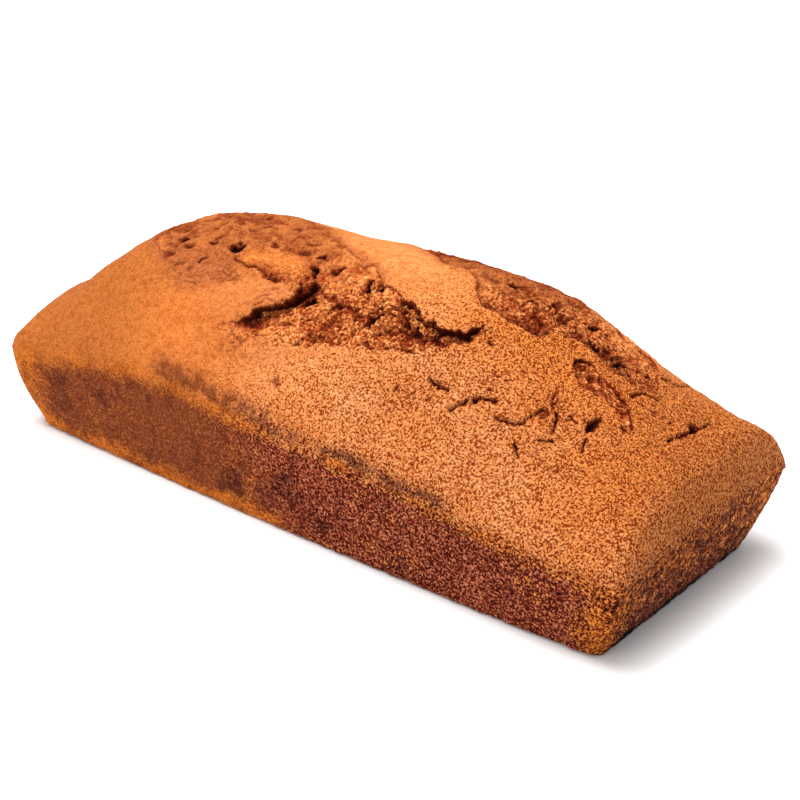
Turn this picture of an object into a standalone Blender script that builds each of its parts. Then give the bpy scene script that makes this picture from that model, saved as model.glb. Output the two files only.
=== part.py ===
"""Banana bread: one whole loaf, baked in a long tin, with a domed top that has torn open.

The loaf lies along X and stands on the plane z = 0, with its origin under its middle. The tin gave
it four tapered sides and a flat base. Above the rim the batter rose freely into a dome, and its
crust broke into plates with torn crumb between them. The loaf is one solid.
"""

import bmesh
import bpy
import numpy as np

MM = 0.001

# The tin's shape
LENGTH = 252.4 * MM  # over the rim
WIDTH = 108.8 * MM  # over the rim
RIM_HEIGHT = 32.6 * MM  # at the four corners
TAPER = 6.4 * MM  # how far each long side comes in from the rim to the base
END_TAPER = 7.6 * MM  # the same at the two ends
RIM_CORNER_RADIUS = 4 * MM  # of the upright corners, seen from above
BASE_CORNER_RADIUS = 6 * MM
RIM_ROUNDING = 3 * MM  # radius of the soft brow where the dome turns into the sides
BASE_EDGE_RADIUS = 1.4 * MM  # of the rounded edge round the base, at mid length
BASE_END_RADIUS = 2.5 * MM  # of the same edge at the two ends
SIDE_BULGE = 1.0 * MM  # how far a side swells at half its height
LEFT_BULGE = 2.6 * MM  # the same at the left end
BELLY = 2.0 * MM  # how far the base of a long side swells at mid length

# How far the batter climbed above the corners along each long side: (place along X from -1 to 1, rise)
NEAR_RISE = ((-1, 0), (-0.85, 3.5), (-0.6, 10), (-0.42, 12.7), (-0.11, 8.5), (0.4, 5), (0.76, 1), (1, 0))
FAR_RISE = ((-1, 0), (-0.5, 6), (0, 8), (0.5, 6), (1, 0))

# The crown, the highest line of the dome: (place along X from -1 to 1, height over the base)
CROWN = ((-1, 37.5), (-0.96, 46), (-0.88, 53.5), (-0.7, 72.5), (-0.45, 81), (-0.15, 84.5),
         (0.15, 87), (0.45, 82), (0.7, 66.5), (0.88, 55), (0.96, 48.5), (1, 37.5))  # fmt: skip
# Power of the dome's cross-section: 2 is an arch, a higher one is a flatter top with full shoulders
NEAR_ROUNDNESS = ((-1, 4.6), (-0.6, 2.6), (0, 1.9), (0.6, 2.5), (0.88, 3.2), (1, 4.6))
FAR_ROUNDNESS = ((-1, 4.6), (-0.6, 2.6), (0, 1.9), (0.6, 2.7), (0.88, 3.6), (1, 8))

# Tears in the crust, seen from above, in millimetres from the loaf's middle
GREAT_TEAR = ((-39, -43.5), (-28, -42), (-16, -39), (5, -36.8), (23, -34.5), (41, -30.5), (54, -19),
              (40, -25.5), (22, -21.5), (2, -15.2), (-17, -6.5), (-38, 6), (-58, 15), (-78, 17),
              (-90, 4), (-87, -18), (-70, -30.5), (-57, -35), (-46, -31.5), (-39, -27), (-28, -26.5),
              (-19, -24), (-19.5, -28), (-26.5, -34))  # fmt: skip
RIDGE_TEAR = ((2, 10), (20, -1.5), (35, -4), (46, -12.5), (63, -12), (74, -2), (90, 2), (97, 8),
              (90, 22), (72, 34), (45, 30), (15, 20))  # fmt: skip
END_TEAR = ((80, -6), (95, -7), (102, -14), (92, -12.5), (82, -13))
TEARS = (GREAT_TEAR, RIDGE_TEAR, END_TEAR)
TEAR_DEPTH = 1.8 * MM  # from the crust down to the torn crumb
TEAR_WALL = 3.0 * MM  # width of the slope between them

# The deepest line of the great tear, under the lip of the left plate and along the middle one
GULLY = ((-36, -41), (-24, -34), (-12, -30), (10, -29), (30, -28), (44, -26), (53, -20))
GULLY_DEPTH = 3.0 * MM
GULLY_WIDTH = 4.5 * MM

# The lip of the left plate, which the rising crumb pushed up
LIP = ((-39, -42.5), (-28, -34), (-18, -25))
LIP_LIFT = 2.0 * MM
LIP_WIDTH = 9.0 * MM

# Swellings and hollows of the dome: (x, y, radius along X, radius along Y, height), in millimetres
SWELLINGS = ((-55, -6, 34, 20, 2.0), (18, -8, 32, 14, 2.4), (60, 14, 30, 14, 2.6), (80, 10, 16, 14, 2.2),
             (-88, -34, 26, 14, 1.2))  # fmt: skip
LUMP_HEIGHT = 0.6 * MM  # of the torn crumb's coarse lumps
LUMP_SPACING = 2.1 * MM
LUMP_DRIFT = 4.3 * MM
RELIEF_MARGIN = 7 * MM  # the relief fades out this near the rim

# Mesh density
CELLS_LONG = 82
CELLS_WIDE = 36
CROWDING = 0.2  # how much closer the cells lie at the rim than on the crown
SIDE_ROWS = 5
EDGE_ROWS = 2

CRUST_COLOUR = (0.50, 0.20, 0.06, 1.0)
CRUST_ROUGHNESS = 0.75


def through(knots, place):
    """Height at each place on a smooth curve through (place, height) knots, without overshoot."""
    at, height = np.array(knots, dtype=float).T
    step = np.diff(at)
    slope = np.diff(height) / step
    before, after = slope[:-1], slope[1:]
    tangent = np.concatenate(([slope[0]], np.zeros(len(before)), [slope[-1]]))
    rising = before * after > 0
    tangent[1:-1][rising] = 2 * before[rising] * after[rising] / (before[rising] + after[rising])
    i = np.clip(np.searchsorted(at, place) - 1, 0, len(step) - 1)
    s = (place - at[i]) / step[i]
    return (
        height[i] * (1 + 2 * s) * (1 - s) ** 2
        + height[i + 1] * s * s * (3 - 2 * s)
        + step[i] * (tangent[i] * s * (1 - s) ** 2 - tangent[i + 1] * s * s * (1 - s))
    )


def ease(value):
    """Smooth step from 0 to 1."""
    t = np.clip(value, 0, 1)
    return t * t * (3 - 2 * t)


def rounded_line(points, closed, steps=6):
    """Points along a smooth curve through the given corner points, in metres."""
    corners = np.array(points, dtype=float) * MM
    count = len(corners)
    spans = count if closed else count - 1
    line = []
    for k in range(spans):
        wanted = (k - 1, k, k + 1, k + 2)
        a, b, c, d = (corners[i % count if closed else min(max(i, 0), count - 1)] for i in wanted)
        for t in np.arange(steps) / steps:
            line.append(0.5 * (2 * b + (c - a) * t + (2 * a - 5 * b + 4 * c - d) * t**2
                               + (3 * b - a - 3 * c + d) * t**3))  # fmt: skip
    if not closed:
        line.append(corners[-1])
    return np.array(line)


def distance_to(line, x, y, closed):
    """Distance in plan from each point to a line of points."""
    start = line if closed else line[:-1]
    run = (np.roll(line, -1, axis=0) - line)[: len(start)]
    dx = x[:, None] - start[:, 0]
    dy = y[:, None] - start[:, 1]
    along = np.clip((dx * run[:, 0] + dy * run[:, 1]) / (run**2).sum(axis=1), 0, 1)
    return np.hypot(dx - along * run[:, 0], dy - along * run[:, 1]).min(axis=1)


def inside(line, x, y):
    """True for each point inside a closed line, by counting the crossings of a ray along +X."""
    x1, y1 = line.T
    x2, y2 = np.roll(line, -1, axis=0).T
    straddles = (y1 > y[:, None]) != (y2 > y[:, None])
    crossing = x1 + (y[:, None] - y1) * (x2 - x1) / np.where(y2 == y1, 1, y2 - y1)
    return (straddles & (x[:, None] < crossing)).sum(axis=1) % 2 == 1


def depth_inside(outline, x, y):
    """How far each point lies inside a tear's outline; outside it the distance is negative."""
    line = rounded_line(outline, closed=True)
    distance = distance_to(line, x, y, closed=True)
    return np.where(inside(line, x, y), distance, -distance)


def hump(x, y, swelling):
    """One low round swelling of the dome."""
    cx, cy, rx, ry, height = (value * MM for value in swelling)
    return height * np.exp(-(((x - cx) / rx) ** 2) - ((y - cy) / ry) ** 2)


def side_of(line, x, y):
    """Signed distance from the straight line through a curve's ends; positive on its left."""
    start, end = line[0], line[-1]
    run = (end - start) / np.hypot(*(end - start))
    return run[0] * (y - start[1]) - run[1] * (x - start[0])


def relief(x, y):
    """Height that swellings, the raised lip and the tears add to the smooth dome."""
    inward = np.max([depth_inside(outline, x, y) for outline in TEARS], axis=0)
    torn = ease(0.5 + inward / TEAR_WALL)
    gully_line = rounded_line(GULLY, closed=False)
    lip_line = rounded_line(LIP, closed=False)
    gully = np.exp(-((distance_to(gully_line, x, y, closed=False) / GULLY_WIDTH) ** 2))
    lip = np.exp(-((distance_to(lip_line, x, y, closed=False) / LIP_WIDTH) ** 2))
    on_plate = ease(0.5 + side_of(lip_line, x, y) / LIP_WIDTH)
    lumps = np.sin(x / LUMP_SPACING + 2 * np.sin(y / LUMP_DRIFT)) * np.sin((y + x / 3) / LUMP_SPACING)
    height = sum(hump(x, y, swelling) for swelling in SWELLINGS)
    height += LIP_LIFT * lip * on_plate * (1 - torn)
    height += torn * (LUMP_HEIGHT * lumps - TEAR_DEPTH)
    return height - GULLY_DEPTH * gully * ease(inward / GULLY_WIDTH)


def rounded_plan(u, v, half_length, half_width, radius):
    """Places from -1 to 1 on a rectangle with rounded corners, and the direction out of its edge."""
    x, y = u * half_length, v * half_width
    core_x = np.clip(x, radius - half_length, half_length - radius)
    core_y = np.clip(y, radius - half_width, half_width - radius)
    over = np.stack([x - core_x, y - core_y], axis=1)
    reach = np.abs(over).max(axis=1)
    out = over / np.maximum(np.hypot(over[:, 0], over[:, 1]), 1e-9)[:, None]
    return np.stack([core_x, core_y], axis=1) + out * reach[:, None], out


def rim_height(u, v):
    """Height of the tin-baked side at each place, blended across the loaf from near to far."""
    far = ease((v + 1) / 2)
    return RIM_HEIGHT + (through(NEAR_RISE, u) * (1 - far) + through(FAR_RISE, u) * far) * MM


def dome(u, v):
    """Points of the top crust, for places from -1 to 1 along and across the loaf."""
    power = np.where(v < 0, through(NEAR_ROUNDNESS, u), through(FAR_ROUNDNESS, u))
    rim = rim_height(u, v)
    z = rim + (through(CROWN, u) * MM - rim) * (1 - np.abs(v) ** power)
    plan, _ = rounded_plan(u, v, LENGTH / 2, WIDTH / 2, RIM_CORNER_RADIUS)
    from_end = (1 - np.abs(u)) * LENGTH / 2
    from_side = (1 - np.abs(v)) * WIDTH / 2
    brow = np.hypot(np.maximum(1 - from_end / RIM_ROUNDING, 0), np.maximum(1 - from_side / RIM_ROUNDING, 0))
    z -= RIM_ROUNDING * (1 - np.sqrt(1 - np.minimum(brow, 1) ** 2))
    from_rim = np.minimum(from_end, from_side)
    z += relief(*plan.T) * ease(from_rim / RELIEF_MARGIN)
    return np.column_stack([plan, z])


def side(u, v, row):
    """Points of the sides: straight rows down from the rim, then a rounded edge into the base."""
    rim = dome(u, v)
    half_width = WIDTH / 2 - TAPER + BELLY * (1 - u * u)
    foot, out = rounded_plan(u, v, LENGTH / 2 - END_TAPER, half_width, BASE_CORNER_RADIUS)
    down = np.clip(row / SIDE_ROWS, 0, 1)
    turn = np.clip((row - SIDE_ROWS) / EDGE_ROWS, 0, 1) * np.pi / 2
    radius = BASE_EDGE_RADIUS + (BASE_END_RADIUS - BASE_EDGE_RADIUS) * u**4
    bulge = SIDE_BULGE + (LEFT_BULGE - SIDE_BULGE) * np.maximum(-out[:, 0], 0)
    swell = bulge * np.sin(np.pi * down) - radius * (1 - np.cos(turn))
    plan = rim[:, :2] + (foot - rim[:, :2]) * down[:, None] + out * swell[:, None]
    z = rim[:, 2] + (radius - rim[:, 2]) * down - radius * np.sin(turn)
    return np.column_stack([plan, z])


def crowded(place):
    """Move evenly spaced places from -1 to 1 a little towards the two ends."""
    return place * (1 + CROWDING * (1 - place**2))


def make_loaf():
    """Build the flat plan of the loaf, drop its sides and base from the rim, then shape it all."""
    bm = bmesh.new()
    bmesh.ops.create_grid(bm, x_segments=CELLS_LONG, y_segments=CELLS_WIDE, size=1)
    edges = [edge for edge in bm.edges if edge.is_boundary]
    for row in range(1, SIDE_ROWS + EDGE_ROWS + 1):
        made = bmesh.ops.extrude_edge_only(bm, edges=edges)["geom"]
        edges = [item for item in made if isinstance(item, bmesh.types.BMEdge) and item.is_boundary]
        for vert in {vert for edge in edges for vert in edge.verts}:
            vert.co.z = -row
    bmesh.ops.contextual_create(bm, geom=edges)
    u, v, level = np.array([vert.co for vert in bm.verts]).T
    u, v = crowded(u), crowded(v)
    points = dome(u, v)
    below = level < 0
    points[below] = side(u[below], v[below], -level[below])
    for vert, point in zip(bm.verts, points):
        vert.co = point
    bmesh.ops.recalc_face_normals(bm, faces=bm.faces)
    mesh = bpy.data.meshes.new("loaf")
    bm.to_mesh(mesh)
    bm.free()
    mesh.shade_smooth()
    return mesh


def crust_material():
    """Browned crust, in its average colour."""
    material = bpy.data.materials.new("crust")
    material.use_nodes = True
    surface = material.node_tree.nodes["Principled BSDF"]
    surface.inputs["Base Color"].default_value = CRUST_COLOUR
    surface.inputs["Roughness"].default_value = CRUST_ROUGHNESS
    surface.inputs["Metallic"].default_value = 0.0
    return material


def main():
    for old in list(bpy.data.objects):
        bpy.data.objects.remove(old, do_unlink=True)
    loaf = bpy.data.objects.new("loaf", make_loaf())
    loaf.data.materials.append(crust_material())
    bpy.context.scene.collection.objects.link(loaf)


main()
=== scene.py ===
# %% [markdown]
# # A loaf of banana bread
#
# A loaf cake is baked in a long tin. Where it touches the tin its crust comes out brown and finely
# pitted. Above the rim the batter rises freely, dries to a thin golden crust, and tears open when the
# crumb below goes on rising. So the loaf has three finishes: top crust, tin crust and torn crumb.
#
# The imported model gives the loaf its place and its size. Here it is loaded first, and everything that
# follows is measured from its box.

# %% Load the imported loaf
import math
import random

import bmesh
import bpy
import numpy as np
from mathutils import Matrix, Vector, noise
from mathutils.bvhtree import BVHTree


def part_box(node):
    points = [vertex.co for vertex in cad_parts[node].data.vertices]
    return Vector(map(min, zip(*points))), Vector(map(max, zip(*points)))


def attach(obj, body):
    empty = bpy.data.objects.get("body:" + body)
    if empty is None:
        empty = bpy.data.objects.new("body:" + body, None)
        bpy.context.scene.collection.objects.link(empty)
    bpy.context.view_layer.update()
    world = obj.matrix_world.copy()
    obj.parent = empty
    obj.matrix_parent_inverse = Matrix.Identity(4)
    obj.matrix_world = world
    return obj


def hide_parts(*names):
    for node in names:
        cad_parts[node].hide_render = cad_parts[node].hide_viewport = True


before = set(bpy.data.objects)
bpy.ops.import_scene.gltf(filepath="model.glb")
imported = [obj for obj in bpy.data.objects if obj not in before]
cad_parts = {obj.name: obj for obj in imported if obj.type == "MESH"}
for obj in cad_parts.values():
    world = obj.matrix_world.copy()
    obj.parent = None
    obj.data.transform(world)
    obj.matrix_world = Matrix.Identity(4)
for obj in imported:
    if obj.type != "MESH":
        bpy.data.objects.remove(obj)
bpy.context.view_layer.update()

loaf_low, loaf_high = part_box("loaf")
LENGTH = loaf_high.x - loaf_low.x
WIDTH = loaf_high.y - loaf_low.y

# %% [markdown]
# ## The tin and the dome
#
# The sides copy the tin: they lean in towards the base, and their corners are round. The batter
# climbed highest at the middle of the near side, so the rim is not level. Above it the dome's highest
# line runs along the loaf, and each cross-section is a power curve: 2 is a plain arch, and a higher
# power is a flat top with full shoulders, as near the ends.

# %% Sizes of the tin's shape and of the dome
MM = 0.001
RIM_HEIGHT = 32.6 * MM
TAPER = 6.4 * MM
END_TAPER = 7.6 * MM
RIM_CORNER_RADIUS = 4 * MM
BASE_CORNER_RADIUS = 6 * MM
RIM_ROUNDING = 3 * MM
BASE_EDGE_RADIUS = 1.4 * MM
BASE_END_RADIUS = 2.5 * MM
SIDE_BULGE = 1.0 * MM
LEFT_BULGE = 2.6 * MM
BELLY = 2.0 * MM
END_POWER = 4  # a high power keeps the rounder base edge close to the ends
TINY = 1e-9

# (place along the loaf from -1 to 1, millimetres or power)
NEAR_RISE = ((-1, 0), (-0.85, 3.5), (-0.6, 10), (-0.42, 12.7), (-0.11, 8.5), (0.4, 5), (0.76, 1), (1, 0))
FAR_RISE = ((-1, 0), (-0.5, 6), (0, 8), (0.5, 6), (1, 0))
TOP_LINE = ((-1, 37.5), (-0.96, 46), (-0.88, 53.5), (-0.7, 72.5), (-0.45, 81), (-0.15, 84.5),
            (0.15, 87), (0.45, 82), (0.7, 66.5), (0.88, 55), (0.96, 48.5), (1, 37.5))
NEAR_ROUNDNESS = ((-1, 4.6), (-0.6, 2.6), (0, 1.9), (0.6, 2.5), (0.88, 3.2), (1, 4.6))
FAR_ROUNDNESS = ((-1, 4.6), (-0.6, 2.6), (0, 1.9), (0.6, 2.7), (0.88, 3.6), (1, 8))
# Low swellings of the dome, in millimetres: (x, y, radius along X, radius along Y, height)
SWELLINGS = ((-55, -6, 34, 20, 2.0), (18, -8, 32, 14, 2.4), (60, 14, 30, 14, 2.6), (80, 10, 16, 14, 2.2),
             (-88, -34, 26, 14, 1.2))
RELIEF_MARGIN = 7 * MM


def ease(value):
    """Smooth step from 0 to 1."""
    t = np.clip(value, 0, 1)
    return t * t * (3 - 2 * t)


def through(knots, place):
    """Height at each place on a smooth curve through (place, height) knots, without overshoot."""
    at, height = np.array(knots, dtype=float).T
    step = np.diff(at)
    slope = np.diff(height) / step
    before, after = slope[:-1], slope[1:]
    tangent = np.concatenate(([slope[0]], np.zeros(len(before)), [slope[-1]]))
    rising = before * after > 0
    tangent[1:-1][rising] = 2 * before[rising] * after[rising] / (before[rising] + after[rising])
    i = np.clip(np.searchsorted(at, place) - 1, 0, len(step) - 1)
    s = (place - at[i]) / step[i]
    near_end = height[i] * (1 + 2 * s) * (1 - s) ** 2 + step[i] * tangent[i] * s * (1 - s) ** 2
    far_end = height[i + 1] * s * s * (3 - 2 * s) - step[i] * tangent[i + 1] * s * s * (1 - s)
    return near_end + far_end


# %% [markdown]
# ## Two surfaces worked out from places
#
# A tin's shape could be carved by hand, but a formula is easier to correct. `dome` and `side` turn a
# place on the plan, from -1 to 1 along and across, into a point of the loaf. Flat grids are made with
# operators further on, and these two bend them. Pieces that share a formula fit each other.

# %% Points of the dome and of the sides
def rounded_plan(u, v, half_length, half_width, radius):
    """Places from -1 to 1 on a rectangle with rounded corners, and the direction out of its edge."""
    x, y = u * half_length, v * half_width
    core_x = np.clip(x, radius - half_length, half_length - radius)
    core_y = np.clip(y, radius - half_width, half_width - radius)
    over = np.stack([x - core_x, y - core_y], axis=1)
    reach = np.abs(over).max(axis=1)
    out = over / np.maximum(np.hypot(over[:, 0], over[:, 1]), TINY)[:, None]
    return np.stack([core_x, core_y], axis=1) + out * reach[:, None], out


def oval(x, y, place):
    """From 0 far from an oval place to 1 at its middle.

    A place is (x, y, radius along X, radius along Y), in millimetres.
    """
    cx, cy, rx, ry = (value * MM for value in place)
    return np.exp(-(((x - cx) / rx) ** 2) - ((y - cy) / ry) ** 2)


def dome(u, v):
    """Points of the dome without its tears, for places from -1 to 1 along and across the loaf."""
    power = np.where(v < 0, through(NEAR_ROUNDNESS, u), through(FAR_ROUNDNESS, u))
    far = ease((v + 1) / 2)
    rim = RIM_HEIGHT + (through(NEAR_RISE, u) * (1 - far) + through(FAR_RISE, u) * far) * MM
    z = rim + (through(TOP_LINE, u) * MM - rim) * (1 - np.abs(v) ** power)
    plan, _ = rounded_plan(u, v, LENGTH / 2, WIDTH / 2, RIM_CORNER_RADIUS)
    from_end = (1 - np.abs(u)) * LENGTH / 2
    from_side = (1 - np.abs(v)) * WIDTH / 2
    brow = np.hypot(np.maximum(1 - from_end / RIM_ROUNDING, 0), np.maximum(1 - from_side / RIM_ROUNDING, 0))
    z -= RIM_ROUNDING * (1 - np.sqrt(1 - np.minimum(brow, 1) ** 2))
    margin = ease(np.minimum(from_end, from_side) / RELIEF_MARGIN)
    z += margin * sum(height * MM * oval(*plan.T, place) for *place, height in SWELLINGS)
    return np.column_stack([plan, z])


def side(u, v, down, turn):
    """Points of the sides: down goes from 0 at the rim to 1 low down, turn rounds the base edge."""
    rim = dome(u, v)
    half_width = WIDTH / 2 - TAPER + BELLY * (1 - u * u)
    foot, out = rounded_plan(u, v, LENGTH / 2 - END_TAPER, half_width, BASE_CORNER_RADIUS)
    radius = BASE_EDGE_RADIUS + (BASE_END_RADIUS - BASE_EDGE_RADIUS) * u**END_POWER
    bulge = SIDE_BULGE + (LEFT_BULGE - SIDE_BULGE) * np.maximum(-out[:, 0], 0)
    swell = bulge * np.sin(np.pi * down) - radius * (1 - np.cos(turn * np.pi / 2))
    plan = rim[:, :2] + (foot - rim[:, :2]) * down[:, None] + out * swell[:, None]
    z = rim[:, 2] + (radius - rim[:, 2]) * down - radius * np.sin(turn * np.pi / 2)
    return np.column_stack([plan, z])


print("top of the dome at mid length:", dome(np.zeros(1), np.zeros(1)).round(4).tolist())

# %% [markdown]
# ## Noise
#
# Nothing baked repeats itself, so the relief comes from noise. `grain` is fractal noise, for lumps and
# wrinkles. `bubbles` puts a round hollow in some cells of a cell pattern, as gas does in batter. Both
# take a place in space and give the same answer each time, so pieces that overlap get the same relief.

# %% Noise at many points
# Each seed looks at another part of the noise, this far from the last along X, Y and Z
GRAIN_SHIFT = (3.7, 1.3, 7.1)
BUBBLE_SHIFT = (5.3, 2.9, 1.7)
SHUFFLE = 9.7  # spreads the cells out, so that each has a draw of its own


def grain(points, size, octaves=3, seed=0):
    """Fractal noise, about -1 to 1, with lumps of this size."""
    shift = Vector([step * seed for step in GRAIN_SHIFT])
    values = [noise.fractal(Vector(point) + shift, 1.0, 2.0, octaves) for point in np.asarray(points) / size]
    return np.array(values)


def bubbles(points, spacing, radius, share, seed=0):
    """From 0 outside to 1 in the middle of round hollows, which only a share of the cells holds."""
    shift = Vector([step * seed for step in BUBBLE_SHIFT])
    depth = np.zeros(len(points))
    for k, point in enumerate(np.asarray(points) / spacing):
        away, centres = noise.voronoi(Vector(point) + shift)
        if noise.cell(centres[0] * SHUFFLE) < share:
            depth[k] = 1 - away[0] * spacing / radius
    return ease(depth)


def winding(values, core, width):
    """From 0 to 1 on the winding lines along which noise changes its sign."""
    return ease(core - np.abs(values) / width)


def bell(distance):
    """1 at no distance, falling to 0 like a bell."""
    return np.exp(-(distance**2))


print("noise at two places:", grain([(0, 0, 0), (1, 0, 0)], 0.3).round(3))

# %% [markdown]
# ## Tears
#
# The crust tore open in three places: the great tear runs from near the left end past the middle, the
# ridge tear lies behind the highest line, and a small one opens near the right end. Each is an outline
# seen from above. It could be cut out with a boolean, but that leaves long thin faces and a clean edge.
# Here a distance to the outline is worked out at every point, and the point sinks by it. Crust breaks
# like dry earth, so the places are moved to and fro with noise before they are measured.

# %% Outlines of the tears, in millimetres from the loaf's middle
GREAT_TEAR = ((-36, -42.6), (-28, -41.8), (-16, -39.6), (5, -36.8), (23, -34.5), (41, -30.5), (54, -19),
              (40, -25.5), (22, -21.5), (2, -15.2), (-17, -6.5), (-38, 6), (-58, 15), (-78, 17),
              (-90, 4), (-87, -18), (-70, -30.5), (-57, -35), (-46, -31.5), (-39, -27), (-28, -26.5),
              (-18, -24), (-16.5, -27.5), (-20.9, -32), (-26.3, -35.8), (-31, -39.2))
RIDGE_TEAR = ((2, 10), (20, -1.5), (35, -4), (46, -12.5), (63, -12), (74, -2), (90, 2), (97, 8),
              (90, 22), (72, 34), (45, 30), (15, 20))
END_TEAR = ((80, -6), (95, -7), (102, -14), (92, -12.5), (82, -13))
TEARS = (GREAT_TEAR, RIDGE_TEAR, END_TEAR)
CURVE_STEPS = 6  # points on the curve for each corner point


def rounded_line(points, closed):
    """Points along a smooth curve through the given corner points, in metres."""
    corners = np.array(points, dtype=float) * MM
    count = len(corners)
    spans = count if closed else count - 1
    line = []
    for k in range(spans):
        wanted = (k - 1, k, k + 1, k + 2)
        a, b, c, d = (corners[i % count if closed else min(max(i, 0), count - 1)] for i in wanted)
        for t in np.arange(CURVE_STEPS) / CURVE_STEPS:
            bend = (2 * a - 5 * b + 4 * c - d) * t**2 + (3 * b - a - 3 * c + d) * t**3
            line.append(0.5 * (2 * b + (c - a) * t + bend))
    if not closed:
        line.append(corners[-1])
    return np.array(line)


def distance_to(line, x, y, closed):
    """Distance in plan from each point to a line of points."""
    start = line if closed else line[:-1]
    run = (np.roll(line, -1, axis=0) - line)[: len(start)]
    dx = x[:, None] - start[:, 0]
    dy = y[:, None] - start[:, 1]
    along = np.clip((dx * run[:, 0] + dy * run[:, 1]) / (run**2).sum(axis=1), 0, 1)
    return np.hypot(dx - along * run[:, 0], dy - along * run[:, 1]).min(axis=1)


def inside(line, x, y):
    """True for each point inside a closed line, by counting the crossings of a ray along +X."""
    x1, y1 = line.T
    x2, y2 = np.roll(line, -1, axis=0).T
    straddles = (y1 > y[:, None]) != (y2 > y[:, None])
    crossing = x1 + (y[:, None] - y1) * (x2 - x1) / np.where(y2 == y1, 1, y2 - y1)
    return (straddles & (x[:, None] < crossing)).sum(axis=1) % 2 == 1


def depth_inside(outline, x, y):
    """How far each point lies inside a tear's outline; outside it the distance is negative."""
    line = rounded_line(outline, closed=True)
    distance = distance_to(line, x, y, closed=True)
    return np.where(inside(line, x, y), distance, -distance)


# (size, how far) of the wobbles of a torn edge
RAGGED = ((6.5 * MM, 1.6 * MM), (2.4 * MM, 0.8 * MM), (1.2 * MM, 0.2 * MM))


def ragged(points):
    """Places in plan, moved a little to and fro, so that what is measured from them is ragged."""
    x, y = points[:, 0].copy(), points[:, 1].copy()
    for k, (size, far) in enumerate(RAGGED):
        x += far * grain(points, size, 2, seed=11 + k)
        y += far * grain(points, size, 2, seed=21 + k)
    return x, y


def inside_tears(x, y):
    """How far each place lies inside the nearest tear."""
    return np.max([depth_inside(outline, x, y) for outline in TEARS], axis=0)


for outline in TEARS:
    print("tear with", len(rounded_line(outline, closed=True)), "points round its outline")

# %% [markdown]
# ## What rose and what sank
#
# The crumb pushed up the edge of the left plate, which now leans out over a deep dark gap, and a second
# gap runs under the island of crust in the middle. Thin cracks and small holes opened in the crust where
# it was stretched. They are lines and spots, with their own width and depth, given once and used by the
# crust and by the crumb.

# %% The lifted lip, the gaps under it and under the island, cracks and holes
# Points along the lip, from left to right, in millimetres
LIP = ((-36, -42.4), (-28, -37), (-20.9, -32), (-16.5, -27))
LIP_LIFT = 1.0 * MM
LIP_WIDTH = 9.0 * MM
LIP_EDGE = 2.5 * MM
LIP_LEAN = 1.2 * MM
PLEAT_SIZE = 2.0 * MM
PLEAT_STRETCH = 5  # times as long as wide
PLEAT_LINE = 0.16
PLEAT_FADE = 6 * MM
PLEAT_REACH = 10.0 * MM
PLEAT_DEPTH = 0.5 * MM

# (depth in millimetres, points of the line)
GAPS = (
    (0.5, ((-33, -41), (-30, -39.4), (-25.5, -36.6))),
    (4.2, ((-25.5, -36.6), (-20, -32.8), (-15.4, -28.2), (-13.5, -25.5))),
    (3.6, ((24, -24), (31, -26.6), (41, -26.8), (48, -22.4))),
)
GAP_WIDTH = 1.3 * MM
# Width of the painted shadow in the crumb beside each gap
GAP_SHADOW = 1.6  # times as wide as the gap

# Points along each crack, in millimetres
CRACKS = (
    ((54, -40.5), (59.5, -37.5), (67, -34.8)),
    ((68.3, -38.3), (77, -35.6), (78.2, -32.3), (80, -29.5)),
    ((80, -22), (80.6, -25.3), (82.5, -26.8)),
    ((83.8, -27.4), (85, -29.7), (86.3, -32)),
    ((83.4, -36), (87.6, -34.3)),
    ((77.5, -39.8), (80.7, -41.6)),
    ((110.3, -6.5), (111.4, 0.1), (111.7, 7.7), (112.8, 18)),
    ((88.5, 19.5), (91.8, 17.8)),
    ((94.5, -2.5), (96.4, 2.7), (100, 5.8)),
    ((96.2, -31.5), (95.1, -28)),
    ((50.5, -20.2), (57.2, -24)),
    ((44, -37), (50.5, -37.2)),
    ((95.5, 16), (98, 24), (97.3, 35.5)),
)
CRACK_WIDTH = 0.36 * MM
CRACK_DEPTH = 1.8 * MM
CRACK_VARIES = (2.5 * MM, 0.5)  # (size, share) of its wider and narrower parts
CRACK_STOPS = 3 * MM  # size of the parts between two stops

# A dusty patch, where crust and crumb blend
DUSTY = ((-68, -28), (-56, -31), (-47, -28.5))
DUSTY_WIDTH = 6.0 * MM
BLURRED_BORDER = 5.0 * MM

# Where the crust is finely crazed
CRAZED = ((78, -30, 26, 13), (108, -2, 9, 18), (36, -38, 24, 5))
CRAZE_SIZE = 5.0 * MM
CRAZE_DEPTH = 0.7 * MM
CRAZE_LINE = 0.1
CRAZE_PATCHES = 9 * MM

# (x, y, radius along X, radius along Y, depth)
HOLES = (
    (81.3, -8.8, 1.7, 3.4, 2.8),
    (94, -22.7, 1.5, 4.4, 2.6),
    (101.2, -15.8, 1.5, 1.0, 2.0),
    (111.5, 9.5, 1.2, 2.8, 2.2),
    (60.5, -37.3, 1.4, 0.9, 1.6),
    (-7.5, -47.9, 2.0, 0.8, 1.0),
    (88, 5.4, 1.6, 1.4, 2.0),
)
HOLE_REACH = 1.3  # times its radius, where its wall begins


def near_line(points, width, x, y):
    """From 0 away from an open line to 1 on it."""
    line = rounded_line(points, closed=False)
    return bell(distance_to(line, x, y, closed=False) / width)


def direction(line):
    """Direction in plan from the start of a curve to its end."""
    run = line[-1] - line[0]
    return run / np.hypot(*run)


def side_of(line, x, y):
    """Signed distance from the straight line through a curve's ends; positive on its left."""
    run = direction(line)
    return run[0] * (y - line[0][1]) - run[1] * (x - line[0][0])


def past_lip_end(x, reach):
    """From 0 at the lip's left end to 1 this far to the right of it."""
    return ease((x - LIP[0][0] * MM) / reach)


def from_middle(x, y, place):
    """Distance from the middle of an oval place, where 1 is its edge."""
    cx, cy, rx, ry = place
    return np.hypot((x / MM - cx) / rx, (y / MM - cy) / ry)


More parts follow.
